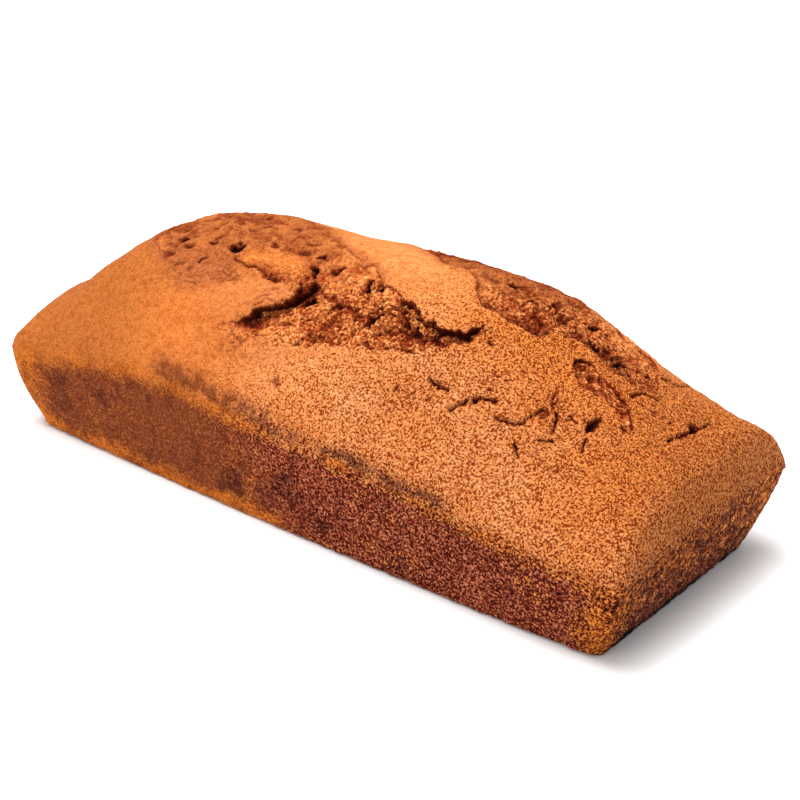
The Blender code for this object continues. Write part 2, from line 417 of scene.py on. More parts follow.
def spot(x, y, hole, tilt=0.0):
    """From 0 outside to 1 in the middle of an oval hole, whose length lies at a tilt from X."""
    cx, cy, rx, ry, _ = (value * MM for value in hole)
    along = (x - cx) * math.cos(tilt) + (y - cy) * math.sin(tilt)
    across = (y - cy) * math.cos(tilt) - (x - cx) * math.sin(tilt)
    return ease(HOLE_REACH - np.hypot(along / rx, across / ry))


print(len(CRACKS), "cracks,", len(HOLES), "holes and", len(GAPS), "gaps")

# %% [markdown]
# ## Relief of the crust
#
# Cracks, holes, pleats and the lifted lip could be sculpted one by one. Here each is a height that
# fades with the distance from its line or spot, and all of them are added up. The same numbers tell
# the material where to paint shade inside the crust: light hardly gets into a narrow crack. The torn
# edge curls up a little, as a drying crust does, and its wall gets the darkest painted shade where it
# overhangs a gap.

# %% Relief of the crust
TEAR_WALL = 1.1 * MM
TEAR_FLOOR = 6.0 * MM
CURL = 0.4 * MM
CURL_WIDTH = 1.6 * MM
GAP_FADE = 11 * MM
WALL_PATCHES = 7 * MM
WALL_EDGE = 0.4 * MM
LIGHT_WALL = 0.35  # coarseness of the crust up to which a tear's wall stays light

# How much painted shade the crust gets inside each of them, up to 1
CRACK_DARK = 0.85
CRAZE_DARK = 0.7
PLEAT_DARK = 0.5
HOLE_DARK = 0.9
HOLE_DARKEST = 2.5  # depth in millimetres
WALL_DARK = 0.75
GAP_DARK = 0.78
GAP_REACH = 4 * MM


def near_cracks(points, x, y):
    """From 0 away from the cracks to 1 in them; each crack gets wider and narrower."""
    size, share = CRACK_VARIES
    width = CRACK_WIDTH * (1 + share * grain(points, size, 2, seed=6))
    x, y = (x + points[:, 0]) / 2, (y + points[:, 1]) / 2
    return np.max([near_line(line, width, x, y) for line in CRACKS], axis=0)


def crazing(points, x, y):
    """From 0 to 1 in fine winding cracks, which only a few stretched parts of the crust have."""
    near = np.max([ease(1.4 - from_middle(x, y, place)) for place in CRAZED], axis=0)
    some = ease(grain(points, CRAZE_PATCHES, 1, seed=8) * 4)
    return near * some * winding(grain(points, CRAZE_SIZE, 2, seed=7), 1.2, CRAZE_LINE)


def pleats(points, x, y):
    """From 0 to 1 in the fine folds of the left plate, which run along its lip."""
    run = direction(np.array(LIP) * MM)
    along = x * run[0] + y * run[1]
    across = y * run[0] - x * run[1]
    stretched = np.column_stack([along / PLEAT_STRETCH, across, np.zeros(len(x))])
    near = near_line(LIP, PLEAT_REACH, x, y) * past_lip_end(x, PLEAT_FADE)
    return near * winding(grain(stretched, PLEAT_SIZE, 2, seed=10), 1.25, PLEAT_LINE)


def wall_shadow(points, inward, x, y):
    """Painted shade on the walls of the tears: in patches, and most where a wall overhangs a gap."""
    patchy = ease(0.6 + 1.5 * grain(points, WALL_PATCHES, 2, seed=19))
    patchy *= ease((coarseness(points) - LIGHT_WALL) / LIGHT_WALL)
    gap_lines = [line for _, line in GAPS]
    by_gap = np.max([near_line(line, GAP_REACH, x, y) for line in (LIP, *gap_lines)], axis=0)
    by_gap *= past_lip_end(x, GAP_FADE)
    strong = np.maximum(WALL_DARK * patchy, GAP_DARK * np.minimum(1.5 * by_gap, 1))
    return strong * ease(1.5 + inward / WALL_EDGE)


def crust_relief(points):
    """Height to add to the dome for the tears, the lip, cracks and holes, and masks of each; hollow is
    painted shade.
    """
    x, y = ragged(points)
    inward = inside_tears(x, y)
    torn = ease(0.5 + inward / TEAR_WALL)
    lip_line = rounded_line(LIP, closed=False)
    lip = near_line(LIP, LIP_WIDTH, x, y) * ease(1.8 + side_of(lip_line, x, y) / LIP_EDGE) * (1 - torn)
    lip *= past_lip_end(x, LIP_WIDTH)
    crack = near_cracks(points, x, y) * ease(0.9 + grain(points, CRACK_STOPS, 2, seed=5))
    craze = crazing(points, x, y)
    hole = np.max([spot(x, y, hole) * hole[4] for hole in HOLES], axis=0)
    pleat = pleats(points, x, y)
    curl = bell((inward + CURL_WIDTH) / CURL_WIDTH) * (1 - torn)
    height = LIP_LIFT * lip + CURL * curl - TEAR_FLOOR * torn
    height -= (CRACK_DEPTH * crack + CRAZE_DEPTH * craze + PLEAT_DEPTH * pleat + hole * MM) * (1 - torn)
    # Painted shade in cracks, crazing, pleats and holes, where little light gets in
    hollow = np.max([CRACK_DARK * crack, CRAZE_DARK * craze, PLEAT_DARK * pleat,
                     np.minimum(hole / HOLE_DARKEST, HOLE_DARK)], axis=0)
    hollow *= 1 - torn
    return height, torn, np.maximum(hollow, wall_shadow(points, inward, x, y)), lip


# %% [markdown]
# ## Grain of the crust
#
# Both crusts share one relief, so that they meet at the rim without a step: broad waves, wrinkles of a
# few millimetres, and small pits where bubbles broke. The sides were pressed against metal, so their
# waves are lower. The relief only goes inwards, so the loaf keeps its size. The crust is smooth at the
# left end and gets coarser towards the front, the right and the back, where it dried out most.

# %% Relief that both crusts share
# (size, height, share of the height that it is lowered by, so that it goes inwards)
WAVE = (14 * MM, 0.45 * MM, 0.7)
WRINKLE = (2.0 * MM, 0.28 * MM, 0.5)
SIDE_WAVES = 0.4  # height of the waves on the sides, as a share of the top's
TOP_BLEND = 8 * MM
PIT_SPACING = 3.4 * MM
PIT_RADIUS = 1.0 * MM
PIT_DEPTH = 0.7 * MM
PIT_SHARE = 0.35

# Where the crust gets coarser: shares of X, Y and Z in the direction, where it starts, how far it goes on
COARSE_WAY = (0.53, -0.74, 0.15)
COARSE_START = 20 * MM
COARSE_REACH = 41 * MM
FINEST = 0.38
COARSER = 1.12
# (start, reach, how coarse) at the back, and (start, reach, how much coarser) at the right end
COARSE_BACK = (16 * MM, 18 * MM, 0.85)
COARSE_END = (116 * MM, 6 * MM, 0.4)
# The island between the two great tears, where the grain is finer
ISLAND = (20, -8, 24, 13)
ISLAND_FINER = 0.35


def coarseness(points):
    """How strong the fine grain is: weak at the left end and on the island, up to 1.9 at the right end."""
    x, y, z = points.T
    way_x, way_y, way_z = COARSE_WAY
    along = way_x * x + way_y * y + way_z * z
    strong = FINEST + COARSER * ease((along - COARSE_START) / COARSE_REACH)
    start, reach, most = COARSE_BACK
    strong = np.maximum(strong, most * ease((y - start) / reach))
    strong *= 1 - ISLAND_FINER * oval(x, y, ISLAND)
    start, reach, most = COARSE_END
    return strong + most * ease((x - start) / reach)


def crust_grain(points, above_rim):
    """Height of waves, wrinkles and pits, and how deep in a pit each point lies."""
    on_top = ease(0.5 + above_rim / TOP_BLEND)
    coarse = np.minimum(coarseness(points), 1)
    waves = grain(points, WAVE[0], 2, seed=1) * (SIDE_WAVES + (1 - SIDE_WAVES) * on_top)
    wrinkles = grain(points, WRINKLE[0], 3, seed=2) * coarse
    pit = bubbles(points, PIT_SPACING, PIT_RADIUS, PIT_SHARE, seed=3) * coarse
    height = WAVE[1] * (waves - WAVE[2]) + WRINKLE[1] * (wrinkles - WRINKLE[2]) - PIT_DEPTH * pit
    return np.minimum(height, 0), pit


# %% [markdown]
# ## Where the crust browned
#
# The tin baked the sides brown, but not evenly. On the near side the brown starts right at the rim
# towards the right end, and lower towards the left end. The upright corners stayed golden, and so did
# the left part of the bottom edge. At the ends the brown deepens slowly. All this could be painted by
# hand on an image. Kept as a number at every point, it needs no image, and a material can mix it with
# fine grain.

# %% Where the crust browned
CORNER_BLEND = 8 * MM
LEFT_BLEND = 60 * MM
# A stretch of the near side where the brown starts lower: (middle, reach, how much lower)
GOLDEN_BAND = (-48 * MM, 30 * MM, 3 * MM)
# How far below the rim the brown is full, how much further at the left, and how much further at the ends
BROWN_REACH = (6 * MM, 2 * MM, 22 * MM)
# The golden bottom edge: where it starts, over what length, up to what height, over what height, how strong
GOLDEN_FOOT = (20 * MM, 30 * MM, 2 * MM, 8 * MM, 0.65)
# How wide an upright corner stays golden, and how much wider at the left
GOLDEN_CORNER = (18 * MM, 6 * MM)
BASE_TOP = 1.5 * MM
BASE_BLEND = 9 * MM


def browning(points, above):
    """How brown the tin baked each point, from 0, golden, to 1."""
    x, y, z = points.T
    from_side = WIDTH / 2 - np.abs(y)
    from_end = LENGTH / 2 - np.abs(x)
    at_end = ease(0.5 + (from_side - from_end) / CORNER_BLEND)
    left = ease(-x / LEFT_BLEND) * (1 - at_end)
    middle, reach, lower = GOLDEN_BAND
    band = bell((x - middle) / reach) * (1 - at_end)
    near, more_left, more_end = BROWN_REACH
    by_rim = np.clip((-above - lower * band) / (near + more_left * left + more_end * at_end), 0, 1)
    from_x, length, height, blend, strength = GOLDEN_FOOT
    golden_foot = ease((from_x - x) / length) * (1 - at_end) * (1 - ease((z - height) / blend))
    corner_span = GOLDEN_CORNER[0] + GOLDEN_CORNER[1] * ease(-x / LENGTH * 4)
    by_corner = ease((np.maximum(from_side, from_end) - TAPER * (1 - z / RIM_HEIGHT)) / corner_span)
    under = (z < BASE_TOP) * ease((np.minimum(from_side, from_end) - TAPER) / BASE_BLEND)
    return np.maximum(by_rim * (1 - strength * golden_foot) * (0.1 + 0.9 * by_corner), under)


# Where the top crust is a deeper orange
AMBER = ((-100, 0, 60, 70), (-60, -50, 34, 16), (72, -12, 34, 18), (112, 0, 22, 50))
AMBER_PATCHES = (16 * MM, 0.3)  # (size, how far) the borders wander


def amber(points):
    """How orange the top crust is at each point, from 0, pale golden, to 1."""
    x, y, _ = points.T
    away = np.min([from_middle(x, y, place) for place in AMBER], axis=0)
    size, far = AMBER_PATCHES
    return ease(1.5 - away + far * grain(points, size, 2, seed=16))


print("brown is full", 1000 * BROWN_REACH[0], "mm below the near rim")

# %% [markdown]
# ## Where the crust is smudged, and the painted shadow at the foot
#
# Batter that smeared over the rim or ran down the side scorched there. Along the right end's foot a
# ragged near-black band is painted shadow. Each smudge could be a dark stroke of paint. Here it is a
# number again, worked out from the distance to a line, a spot or the bottom edge, and noise makes its
# border ragged.

# %% Where the crust is smudged, and the painted shadow at the right end's foot
SMUDGE_LINE = ((-50, -53), (-48, -52.5), (-29, -52), (-3, -52), (20, -53), (40, -54), (62, -54.4))
SMUDGE_WIDTH = 2.3 * MM
SMUDGE_REACH = 5 * MM
SMUDGE_RISE = 1 * MM
SMUDGE_WANDER = (11 * MM, 1.6 * MM)  # (size, how far) it rises and falls
SMUDGE_PATCHES = 8 * MM
SMUDGE_STRENGTH = 1.4
# A wider and weaker smudge above the rim: (height, reach, share), and where and how fast it ends
HALO = (2 * MM, 4.5 * MM, 0.8)
HALO_END = (15 * MM, 30 * MM)
# Painted shadow at the right end's foot: (middle height, size and height of its ragged edge, blend)
FOOT_SHADOW = (2 * MM, 7 * MM, 4.5 * MM, 2 * MM)
FOOT_SHADOW_START = (-44 * MM, 8 * MM)  # (place across the loaf, blend)
GROUND = 1e-5  # metres; what lies lower is the base
END_WALL = (6 * MM, 3 * MM)  # (how far in from the foot the end wall starts, blend)
# Crust darker towards the bottom of the right end, above its foot's painted shadow: (height, middle, half
# width, blend, share)
DARK_END = (20 * MM, 5 * MM, 60 * MM, 16 * MM, 0.6)
# Scorched spots on the near side: (x, y, z, radius)
SCORCHES = (
    (-21.6, -52.1, 12.6, 5.5),
    (-7.9, -52.4, 13.8, 4.0),
    (2.8, -52.9, 16.8, 7.0),
    (15.3, -51.6, 9.0, 5.0),
    (48.8, -53.4, 20.8, 2.2),
    (46.2, -51.0, 7.1, 4.0),
    (-82.1, -53.4, 25.2, 3.0),
    (-101.7, -52.1, 15.9, 6.0),
)
SCORCH_SHARE = 0.6
SCORCH_UNEVEN = (7 * MM, 0.6)  # (size, share) of their ragged borders


def rim_smudge(points, above):
    """Grey smudge along the near rim, with its halo above."""
    x, y, _ = points.T
    along = near_line(SMUDGE_LINE, SMUDGE_REACH, x, y) * (y < 0)
    size, far = SMUDGE_WANDER
    wander = SMUDGE_RISE + far * grain(points, size, 2, seed=14)
    patchy = ease(0.75 + 1.6 * grain(points, SMUDGE_PATCHES, 2, seed=15))
    height, reach, share = HALO
    halo = bell((above - height) / reach) * ease((HALO_END[0] - x) / HALO_END[1])
    return along * np.maximum(bell((above - wander) / SMUDGE_WIDTH) * (0.45 + 0.55 * patchy), share * halo)


def scorched_spots(points):
    """Dark spots where batter ran down the near side and scorched."""
    x, y, z = points.T
    spots = np.zeros(len(points))
    size, share = SCORCH_UNEVEN
    uneven = 1 + share * grain(points, size, 3, seed=9)
    for place in SCORCHES:
        cx, cy, cz, radius = (value * MM for value in place)
        away = np.hypot(np.hypot(x - cx, y - cy), z - cz) * uneven
        spots = np.maximum(spots, SCORCH_SHARE * ease(1.5 - away / radius))
    return spots


def end_foot_shadow(points):
    """Painted shadow along the right end's ragged foot, up to 2, and a much weaker darkening above it."""
    x, y, z = points.T
    inset, blend = END_WALL
    on_end = ease((x - LENGTH / 2 + END_TAPER + inset) / blend) * (z > GROUND)
    height, size, ragged_height, blend = FOOT_SHADOW
    ragged_foot = height + ragged_height * grain(points, size, 3, seed=17)
    foot_shadow = 2 * on_end * ease(1 - (z - ragged_foot) / blend)
    foot_shadow *= ease((y - FOOT_SHADOW_START[0]) / FOOT_SHADOW_START[1])
    height, middle, half_width, blend, share = DARK_END
    darker = share * on_end * ease(1 - z / height) * ease((np.abs(y - middle) - half_width) / -blend)
    return np.maximum(foot_shadow, darker)


def smudges_and_foot_shadow(points, above):
    """Strongest of the smudge along the near rim, the scorched spots and the right end's painted foot shadow.
    """
    rim = SMUDGE_STRENGTH * rim_smudge(points, above)
    return np.max([rim, scorched_spots(points), end_foot_shadow(points)], axis=0)


print(len(SCORCHES), "scorched spots")


# %% [markdown]
# ## Helpers for building
#
# Every piece starts as a flat grid. Rows are extruded from its open edge, and then all of its points
# are read as one array, moved by the formulas, and written back. Moving thousands of points one by one
# would take minutes. What the materials need later is stored on the mesh as attributes.

# %% Helpers for building: rows at an edge, reading and moving points, attributes
def add_rows(bm, rows, rise):
    """Extrude the open edge of a flat plan row by row; z counts the rows, upwards or downwards."""
    edges = [edge for edge in bm.edges if edge.is_boundary]
    for row in range(1, rows + 1):
        made = bmesh.ops.extrude_edge_only(bm, edges=edges)["geom"]
        edges = [item for item in made if isinstance(item, bmesh.types.BMEdge) and item.is_boundary]
        for vert in {vert for edge in edges for vert in edge.verts}:
            vert.co.z = rise * row
    return edges


def to_mesh(bm, name):
    """Turn the finished bmesh into a mesh with its faces outwards."""
    bmesh.ops.recalc_face_normals(bm, faces=bm.faces)
    mesh = bpy.data.meshes.new(name)
    bm.to_mesh(mesh)
    bm.free()
    return mesh


def read(mesh):
    """Points of a mesh as an array."""
    points = np.empty(len(mesh.vertices) * 3)
    mesh.vertices.foreach_get("co", points)
    return points.reshape(-1, 3)


def write(mesh, points):
    """Move the points of a mesh."""
    mesh.vertices.foreach_set("co", np.ascontiguousarray(points, dtype=np.float32).ravel())
    mesh.update()


def outward(mesh):
    """Direction out of the surface at each point."""
    normals = np.empty(len(mesh.vertices) * 3)
    mesh.vertex_normals.foreach_get("vector", normals)
    return normals.reshape(-1, 3)


def keep(mesh, name, values):
    """Store one number for each point, for the materials to read."""
    layer = mesh.attributes.new(name, "FLOAT", "POINT")
    layer.data.foreach_set("value", np.ascontiguousarray(values, dtype=np.float32))


def keep_crust(mesh, points, above):
    """Store what the finish of both crusts needs to know about each point."""
    keep(mesh, "above_rim", above / MM)
    keep(mesh, "baked", browning(points, above))
    # smudge also carries the painted shadow at the right end's foot, above 1
    keep(mesh, "smudge", smudges_and_foot_shadow(points, above))
    keep(mesh, "coarse", coarseness(points))
    keep(mesh, "amber", amber(points))


def within_box(points):
    """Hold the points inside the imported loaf's box."""
    return np.clip(points, np.array(loaf_low), np.array(loaf_high))


# %% [markdown]
# ## Top crust
#
# One fine grid is bent over the dome. Its outer rows follow the brow and go a little way down the
# sides, sinking under the tin crust, so that no gap can show at the rim. Inside each tear it drops to
# a floor that the crumb will cover.

# %% Build the top crust
DOME_CELLS = (336, 184)
REFINED_BORDER = 1.7 * MM
DOME_CROWDING = (0.15, 0.2)
SKIRT_ROWS = 5
SKIRT_STEP = 0.6 * MM
SKIRT_SINK = 0.3  # of the distance from the rim
INNER_FLOOR = 20 * MM
INNER_PLACE = 0.85
BESIDE_LIP = 12 * MM
DUSTY_LIP = (14 * MM, 0.5)  # (reach, share)
# Share of painted shade in the crust's pits
PIT_DARK = 0.3


def spread(place, half, crowding):
    """Turn even places from -1 to 1 into places that are even along the crust and round its brow."""
    even = np.abs(place) * (1 + crowding * (1 - place**2))
    slack = RIM_ROUNDING * (math.pi / 2 - 1)
    along = (1 - even) * (half + slack)
    on_brow = along < RIM_ROUNDING * math.pi / 2
    inset = np.where(on_brow, RIM_ROUNDING * (1 - np.cos(along / RIM_ROUNDING)), along - slack)
    return np.sign(place) * (1 - inset / half)


def above_rim_of(u, v, points):
    """Distance up the dome from the rim."""
    inset = np.minimum((1 - np.abs(u)) * LENGTH, (1 - np.abs(v)) * WIDTH) / 2
    nearer_side = (1 - np.abs(v)) * WIDTH < (1 - np.abs(u)) * LENGTH
    rim_u = np.where(nearer_side, u, np.sign(u))
    rim_v = np.where(nearer_side, np.sign(v), v)
    rise = points[:, 2] - dome(rim_u, rim_v)[:, 2]
    return np.hypot(inset, rise)


def refine(bm, only_cracks):
    """Divide the cells of the flat grid along every torn border, crack and hole, or along cracks only."""
    u, v, _ = np.array([vert.co for vert in bm.verts]).T
    points = dome(spread(u, LENGTH / 2, DOME_CROWDING[0]), spread(v, WIDTH / 2, DOME_CROWDING[1]))
    x, y = ragged(points)
    wanted = near_cracks(points, x, y) > 0.01
    if not only_cracks:
        wanted |= np.abs(inside_tears(x, y)) < REFINED_BORDER
        wanted |= np.max([spot(x, y, hole) for hole in HOLES], axis=0) > 0
    wanted = {vert for vert, want in zip(bm.verts, wanted) if want and not vert.is_boundary}
    edges = [edge for edge in bm.edges if wanted.issuperset(edge.verts)]
    bmesh.ops.subdivide_edges(bm, edges=edges, cuts=1, use_grid_fill=True)


def make_dome_crust():
    bm = bmesh.new()
    bmesh.ops.create_grid(bm, x_segments=DOME_CELLS[0], y_segments=DOME_CELLS[1], size=1)
    refine(bm, only_cracks=False)
    refine(bm, only_cracks=True)
    last = add_rows(bm, SKIRT_ROWS + 1, -1)
    bmesh.ops.contextual_create(bm, geom=last)
    mesh = to_mesh(bm, "dome_crust")
    u, v, level = read(mesh).T
    u = spread(u, LENGTH / 2, DOME_CROWDING[0])
    v = spread(v, WIDTH / 2, DOME_CROWDING[1])
    row = np.round(-level)
    points = dome(u, v)
    above = above_rim_of(u, v, points)
    skirt = row > 0
    below = row[skirt] * SKIRT_STEP
    height = points[skirt, 2]
    points[skirt] = side(u[skirt], v[skirt], below / height, np.zeros(skirt.sum()))
    points[skirt, :2] *= (1 - SKIRT_SINK * below / (WIDTH / 2))[:, None]
    above[skirt] = -below
    closing = row > SKIRT_ROWS
    points[closing] = points[closing] * (INNER_PLACE, INNER_PLACE, 0) + (0, 0, INNER_FLOOR)
    write(mesh, points)
    normals = outward(mesh)
    margin = ease(above / RELIEF_MARGIN) * ~skirt
    height, torn, hollow, lip = crust_relief(points)
    waves, pit = crust_grain(points, above)
    points = points + normals * (height * margin + waves * ~closing)[:, None]
    lean = direction(rounded_line(LIP, closed=False))
    points[:, :2] += np.outer(lip * LIP_LEAN, (lean[1], -lean[0]))
    write(mesh, within_box(points))
    keep_crust(mesh, points, above)
    keep(mesh, "torn", torn * margin)
    # hollow is painted shade in cracks, holes, pits and on the tears' walls
    keep(mesh, "hollow", np.maximum(hollow * margin, PIT_DARK * pit))
    x, y = ragged(points)
    blurred = ease(1 + inside_tears(x, y) / BLURRED_BORDER) * ease((0.6 - coarseness(points)) / 0.2)
    blurred *= 1 - near_line(LIP, BESIDE_LIP, x, y)
    reach, share = DUSTY_LIP
    by_lip = share * near_line(LIP, reach, x, y)
    keep(mesh, "dusty", np.max([near_line(DUSTY, DUSTY_WIDTH, x, y), blurred, by_lip], axis=0))
    return mesh


def piece_from(mesh):
    """Make the object, say that it rides on the loaf's body and stands for the loaf."""
    mesh.shade_smooth()
    piece = bpy.data.objects.new(mesh.name, mesh)
    bpy.context.scene.collection.objects.link(piece)
    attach(piece, "root")
    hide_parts("loaf")
    mesh.calc_loop_triangles()
    print(f"{piece.name}: {len(mesh.loop_triangles)} triangles")
    return piece


dome_crust = piece_from(make_dome_crust())

# %% [markdown]
# ## Torn crumb
#
# Torn crumb is lumpy and full of open bubbles. Each tear gets a patch of very fine grid, cut to the
# tear's outline plus a margin. The patch follows the dome a little lower than the crust, and its
# border dives under the crust's broken edge. Its open edge is drawn down into the loaf and closed.

# %% Relief of the crumb
CRUMB_CELL = 0.36 * MM
CRUMB_MARGIN = 2.2 * MM
CRUMB_DEPTH = 1.1 * MM
CRUMB_FOOT = 24 * MM
CRUMB_LUMPS = (8 * MM, 1.4 * MM)
CRUMB_KNOBS = (2.8 * MM, 0.65 * MM)
CRUMB_GRIT = (1.1 * MM, 0.35 * MM)
CREASE_SIZE = 5.0 * MM
CREASE_DEPTH = 1.1 * MM
CREASE_LINE = 0.16
BUBBLE_DEPTH = 1.2 * MM
BUBBLE_SPACING = 3.8 * MM
BUBBLE_RADIUS = 1.9 * MM
BUBBLE_SHARE = 0.55
DRAWN_OUT = (0.82, 0.57)  # direction in plan in which the bubbles were drawn out to twice their width
BUBBLE_WOBBLE = 1.6 * MM
HOLLOW_WOBBLE = 1.3 * MM
BORDER_RISE = (4 * MM, 0.8 * MM)  # (reach, height) by the near border
# How the crumb's border dives under the crust: (start outside the outline, reach, depth)
DIVE = (0.4 * MM, 1.8 * MM, 5 * MM)
CALM_CRUMB = (4 * MM, 8 * MM, 0.4)  # (start, reach, share) of the smoother crumb far back
# Even the smoothest crumb keeps this share of its knobs, and that much less of it far back
LEAST_KNOBS = 0.7
FEWER_KNOBS = 0.35
# The crumb is painted lighter on raised knobs and grit, a painted highlight
KNOBS_RAISED = 0.6  # share of the knobs in how light the crumb is

# How much painted shade the crumb gets in each of them, up to 1; past 0.6 it turns near-black
CREASE_DARK = 0.45
BUBBLE_DARK = 0.6
FOLD_DARK = 0.6
UNDER_LIP_DARK = 0.88
DEEP_DARKEST = 1.5  # depth in millimetres
RIDGE_SHADOW = (1.5 * MM, 0.35)  # (reach, how dark)

# Folds between parts of the crumb, and the near border, where the crumb lies level with the crust
FOLDS = (
    ((-11, -25), (-3, -27), (5.4, -28), (13.5, -28)),
    ((-47, -25), (-41.6, -25.3), (-34, -25.6), (-26.3, -26.6)),
)
FOLD_WIDTH = 0.7 * MM
FOLD_DEPTH = 0.9 * MM
NEAR_BORDER = ((-30, -42), (-16, -39), (5, -36.8), (23, -34.5), (41, -30.5))
RIDGE_BORDER = ((2, 10), (20, -1.5), (35, -4), (46, -12.5), (63, -12), (74, -2), (90, 2))
# A scrap of golden skin left on the crumb
SKIN = ((-41, -22.8), (-33, -20), (-23, -20))
SKIN_WIDTH = 3.8 * MM
SKIN_RISE = 0.4 * MM
SKIN_SMOOTH = 0.7  # share of the relief that it hides

# Deep hollows in the crumb: (x, y, half length, half width, depth), drawn out at a tilt
TILT = math.radians(33)
HOLLOWS = (
    (-49, -19.6, 2.6, 1.9, 2.8),
    (-58.6, -28, 2.0, 1.5, 1.8),
    (-73.3, -21, 2.0, 1.6, 1.4),
    (-59.9, -20.4, 1.8, 1.2, 1.2),
    (-61.6, -7, 3.0, 1.2, 1.2),
    (-46.8, -6.5, 2.4, 1.2, 1.2),
    (-72, -4, 2.6, 1.2, 1.2),
    (-36.3, -15.5, 1.6, 1.0, 1.0),
    (-16.8, -13.9, 1.8, 1.4, 2.0),
    (-16.4, -19.6, 1.4, 2.4, 1.8),
    (-11.5, -29, 2.4, 1.7, 3.0),
    (-7.9, -18.3, 1.8, 1.2, 1.4),
    (6.4, -21, 2.6, 1.8, 2.6),
    (11.4, -19, 2.2, 1.2, 2.2),
    (15.2, -28.4, 2.8, 1.3, 2.2),
    (22.1, -23.5, 1.6, 2.0, 2.2),
    (21.3, 1.9, 2.6, 1.2, 1.6),
    (31, 9.8, 2.2, 1.3, 1.8),
    (46.8, 4, 2.4, 1.5, 2.0),
    (56.6, -1.2, 1.8, 1.1, 1.6),
    (62.5, 3.6, 1.9, 1.4, 1.8),
    (75, 9.6, 2.0, 1.5, 1.8),
    (78.6, 3, 2.2, 1.3, 1.8),
    (86.6, 4.9, 2.0, 1.4, 2.2),
    (77.4, 21.7, 1.8, 1.3, 1.4),
    (84.6, 24.2, 1.9, 1.3, 1.4),
)


# Where the crumb is coarser than the crust beside it, and where it is duller
COARSE_CRUMB = (-2, -30, 38, 13)
DULL_CRUMB = ((-58, -8, 46, 22), (38, 8, 28, 12))
COARSER_CRUMB = 1.4
DULLNESS = 1.8
DULL_RIDGE = (6 * MM, 0.7)  # (reach, how dull)


def crumb_coarseness(points):
    """How strong the fine grain of the crumb is at each point."""
    x, y, _ = points.T
    return np.minimum(coarseness(points) * (1 + COARSER_CRUMB * oval(x, y, COARSE_CRUMB)), 2)


def crumb_texture(points, far, skin):
    """Lumps, knobs, grit and creases of the crumb; all are weaker far back and under the scrap of skin."""
    rough = (1 - SKIN_SMOOTH * skin) * np.clip(crumb_coarseness(points), 0, 1)
    rough *= 1 - CALM_CRUMB[2] * far
    lumps = grain(points, CRUMB_LUMPS[0], 2, seed=31) * (1 - CALM_CRUMB[2] * far)
    least = (LEAST_KNOBS - FEWER_KNOBS * far) * (1 - skin)
    knobs = grain(points, CRUMB_KNOBS[0], 2, seed=35) * np.maximum(rough, least)
    grit = grain(points, CRUMB_GRIT[0], 3, seed=32) * rough
    crease = winding(grain(points, CREASE_SIZE, 2, seed=36), 1.15, CREASE_LINE)
    crease *= ease(0.5 + 2 * lumps) * rough
    return lumps, knobs, grit, crease


def crumb_bubbles(points, knobs, grit, skin):
    """From 0 to 1 in open bubbles, drawn out along the loaf and made uneven by the knobs and the grit."""
    x, y, z = (points + BUBBLE_WOBBLE * np.column_stack([knobs, grit, knobs])).T
    along = DRAWN_OUT[0] * x + DRAWN_OUT[1] * y
    across = DRAWN_OUT[0] * y - DRAWN_OUT[1] * x
    drawn_out = np.column_stack([along / 2, across, 0.5 * z])
    bubble = bubbles(drawn_out, BUBBLE_SPACING, BUBBLE_RADIUS, BUBBLE_SHARE, seed=33)
    return bubble * (1 - SKIN_SMOOTH * skin)


def crumb_relief(points, inward, x, y):
    """Height of the crumb over the dome, how raised each point is, for a painted highlight, how hollow, for
    painted shade, and how golden.
    """
    skin = near_line(SKIN, SKIN_WIDTH, x, y)
    far = ease((y - CALM_CRUMB[0]) / CALM_CRUMB[1])
    lumps, knobs, grit, crease = crumb_texture(points, far, skin)
    bubble = crumb_bubbles(points, knobs, grit, skin)
    fold = np.max([near_line(line, FOLD_WIDTH, x, y) for line in FOLDS], axis=0)
    gap = np.max([near_line(line, GAP_WIDTH, x, y) * depth for depth, line in GAPS], axis=0)
    # Painted shadow in the crumb beside the gaps, most under the lip
    dark = np.max([near_line(line, GAP_SHADOW * GAP_WIDTH, x, y) for _, line in GAPS], axis=0)
    dark *= past_lip_end(x, GAP_FADE)
    wide_x, wide_y = x + HOLLOW_WOBBLE * knobs, y + HOLLOW_WOBBLE * grit
    deep = np.max([spot(wide_x, wide_y, hollow, TILT) * hollow[4] for hollow in HOLLOWS], axis=0)
    height = CRUMB_LUMPS[1] * lumps + CRUMB_KNOBS[1] * knobs + CRUMB_GRIT[1] * grit + SKIN_RISE * skin
    height += BORDER_RISE[1] * near_line(NEAR_BORDER, BORDER_RISE[0], x, y)
    depth = CRUMB_DEPTH * np.clip(0.2 + coarseness(points), 0, 1)
    height -= depth + CREASE_DEPTH * crease + BUBBLE_DEPTH * bubble + FOLD_DEPTH * fold
    height -= (gap + deep) * MM
    height -= DIVE[2] * ease((-DIVE[0] - inward) / DIVE[1])
    hollow = np.max([CREASE_DARK * crease, BUBBLE_DARK * bubble, FOLD_DARK * fold,
                     np.minimum(1.4 * dark, UNDER_LIP_DARK), deep / DEEP_DARKEST,
                     RIDGE_SHADOW[1] * near_line(RIDGE_BORDER, RIDGE_SHADOW[0], x, y)], axis=0)
    return height, KNOBS_RAISED * knobs + grit, np.minimum(hollow, 1), skin


print(len(HOLLOWS), "deep hollows and", len(FOLDS), "folds in the crumb")

# %% [markdown]
# ## Building the crumb
#
# One patch for each tear is cut out of a fine grid by deleting the points that lie well outside the
# outline. A simpler way is to paint crumb on the crust's own grid, but its cells are too large for
# bubbles. The patches are extruded down into the loaf and filled there, so that no open edge is left.

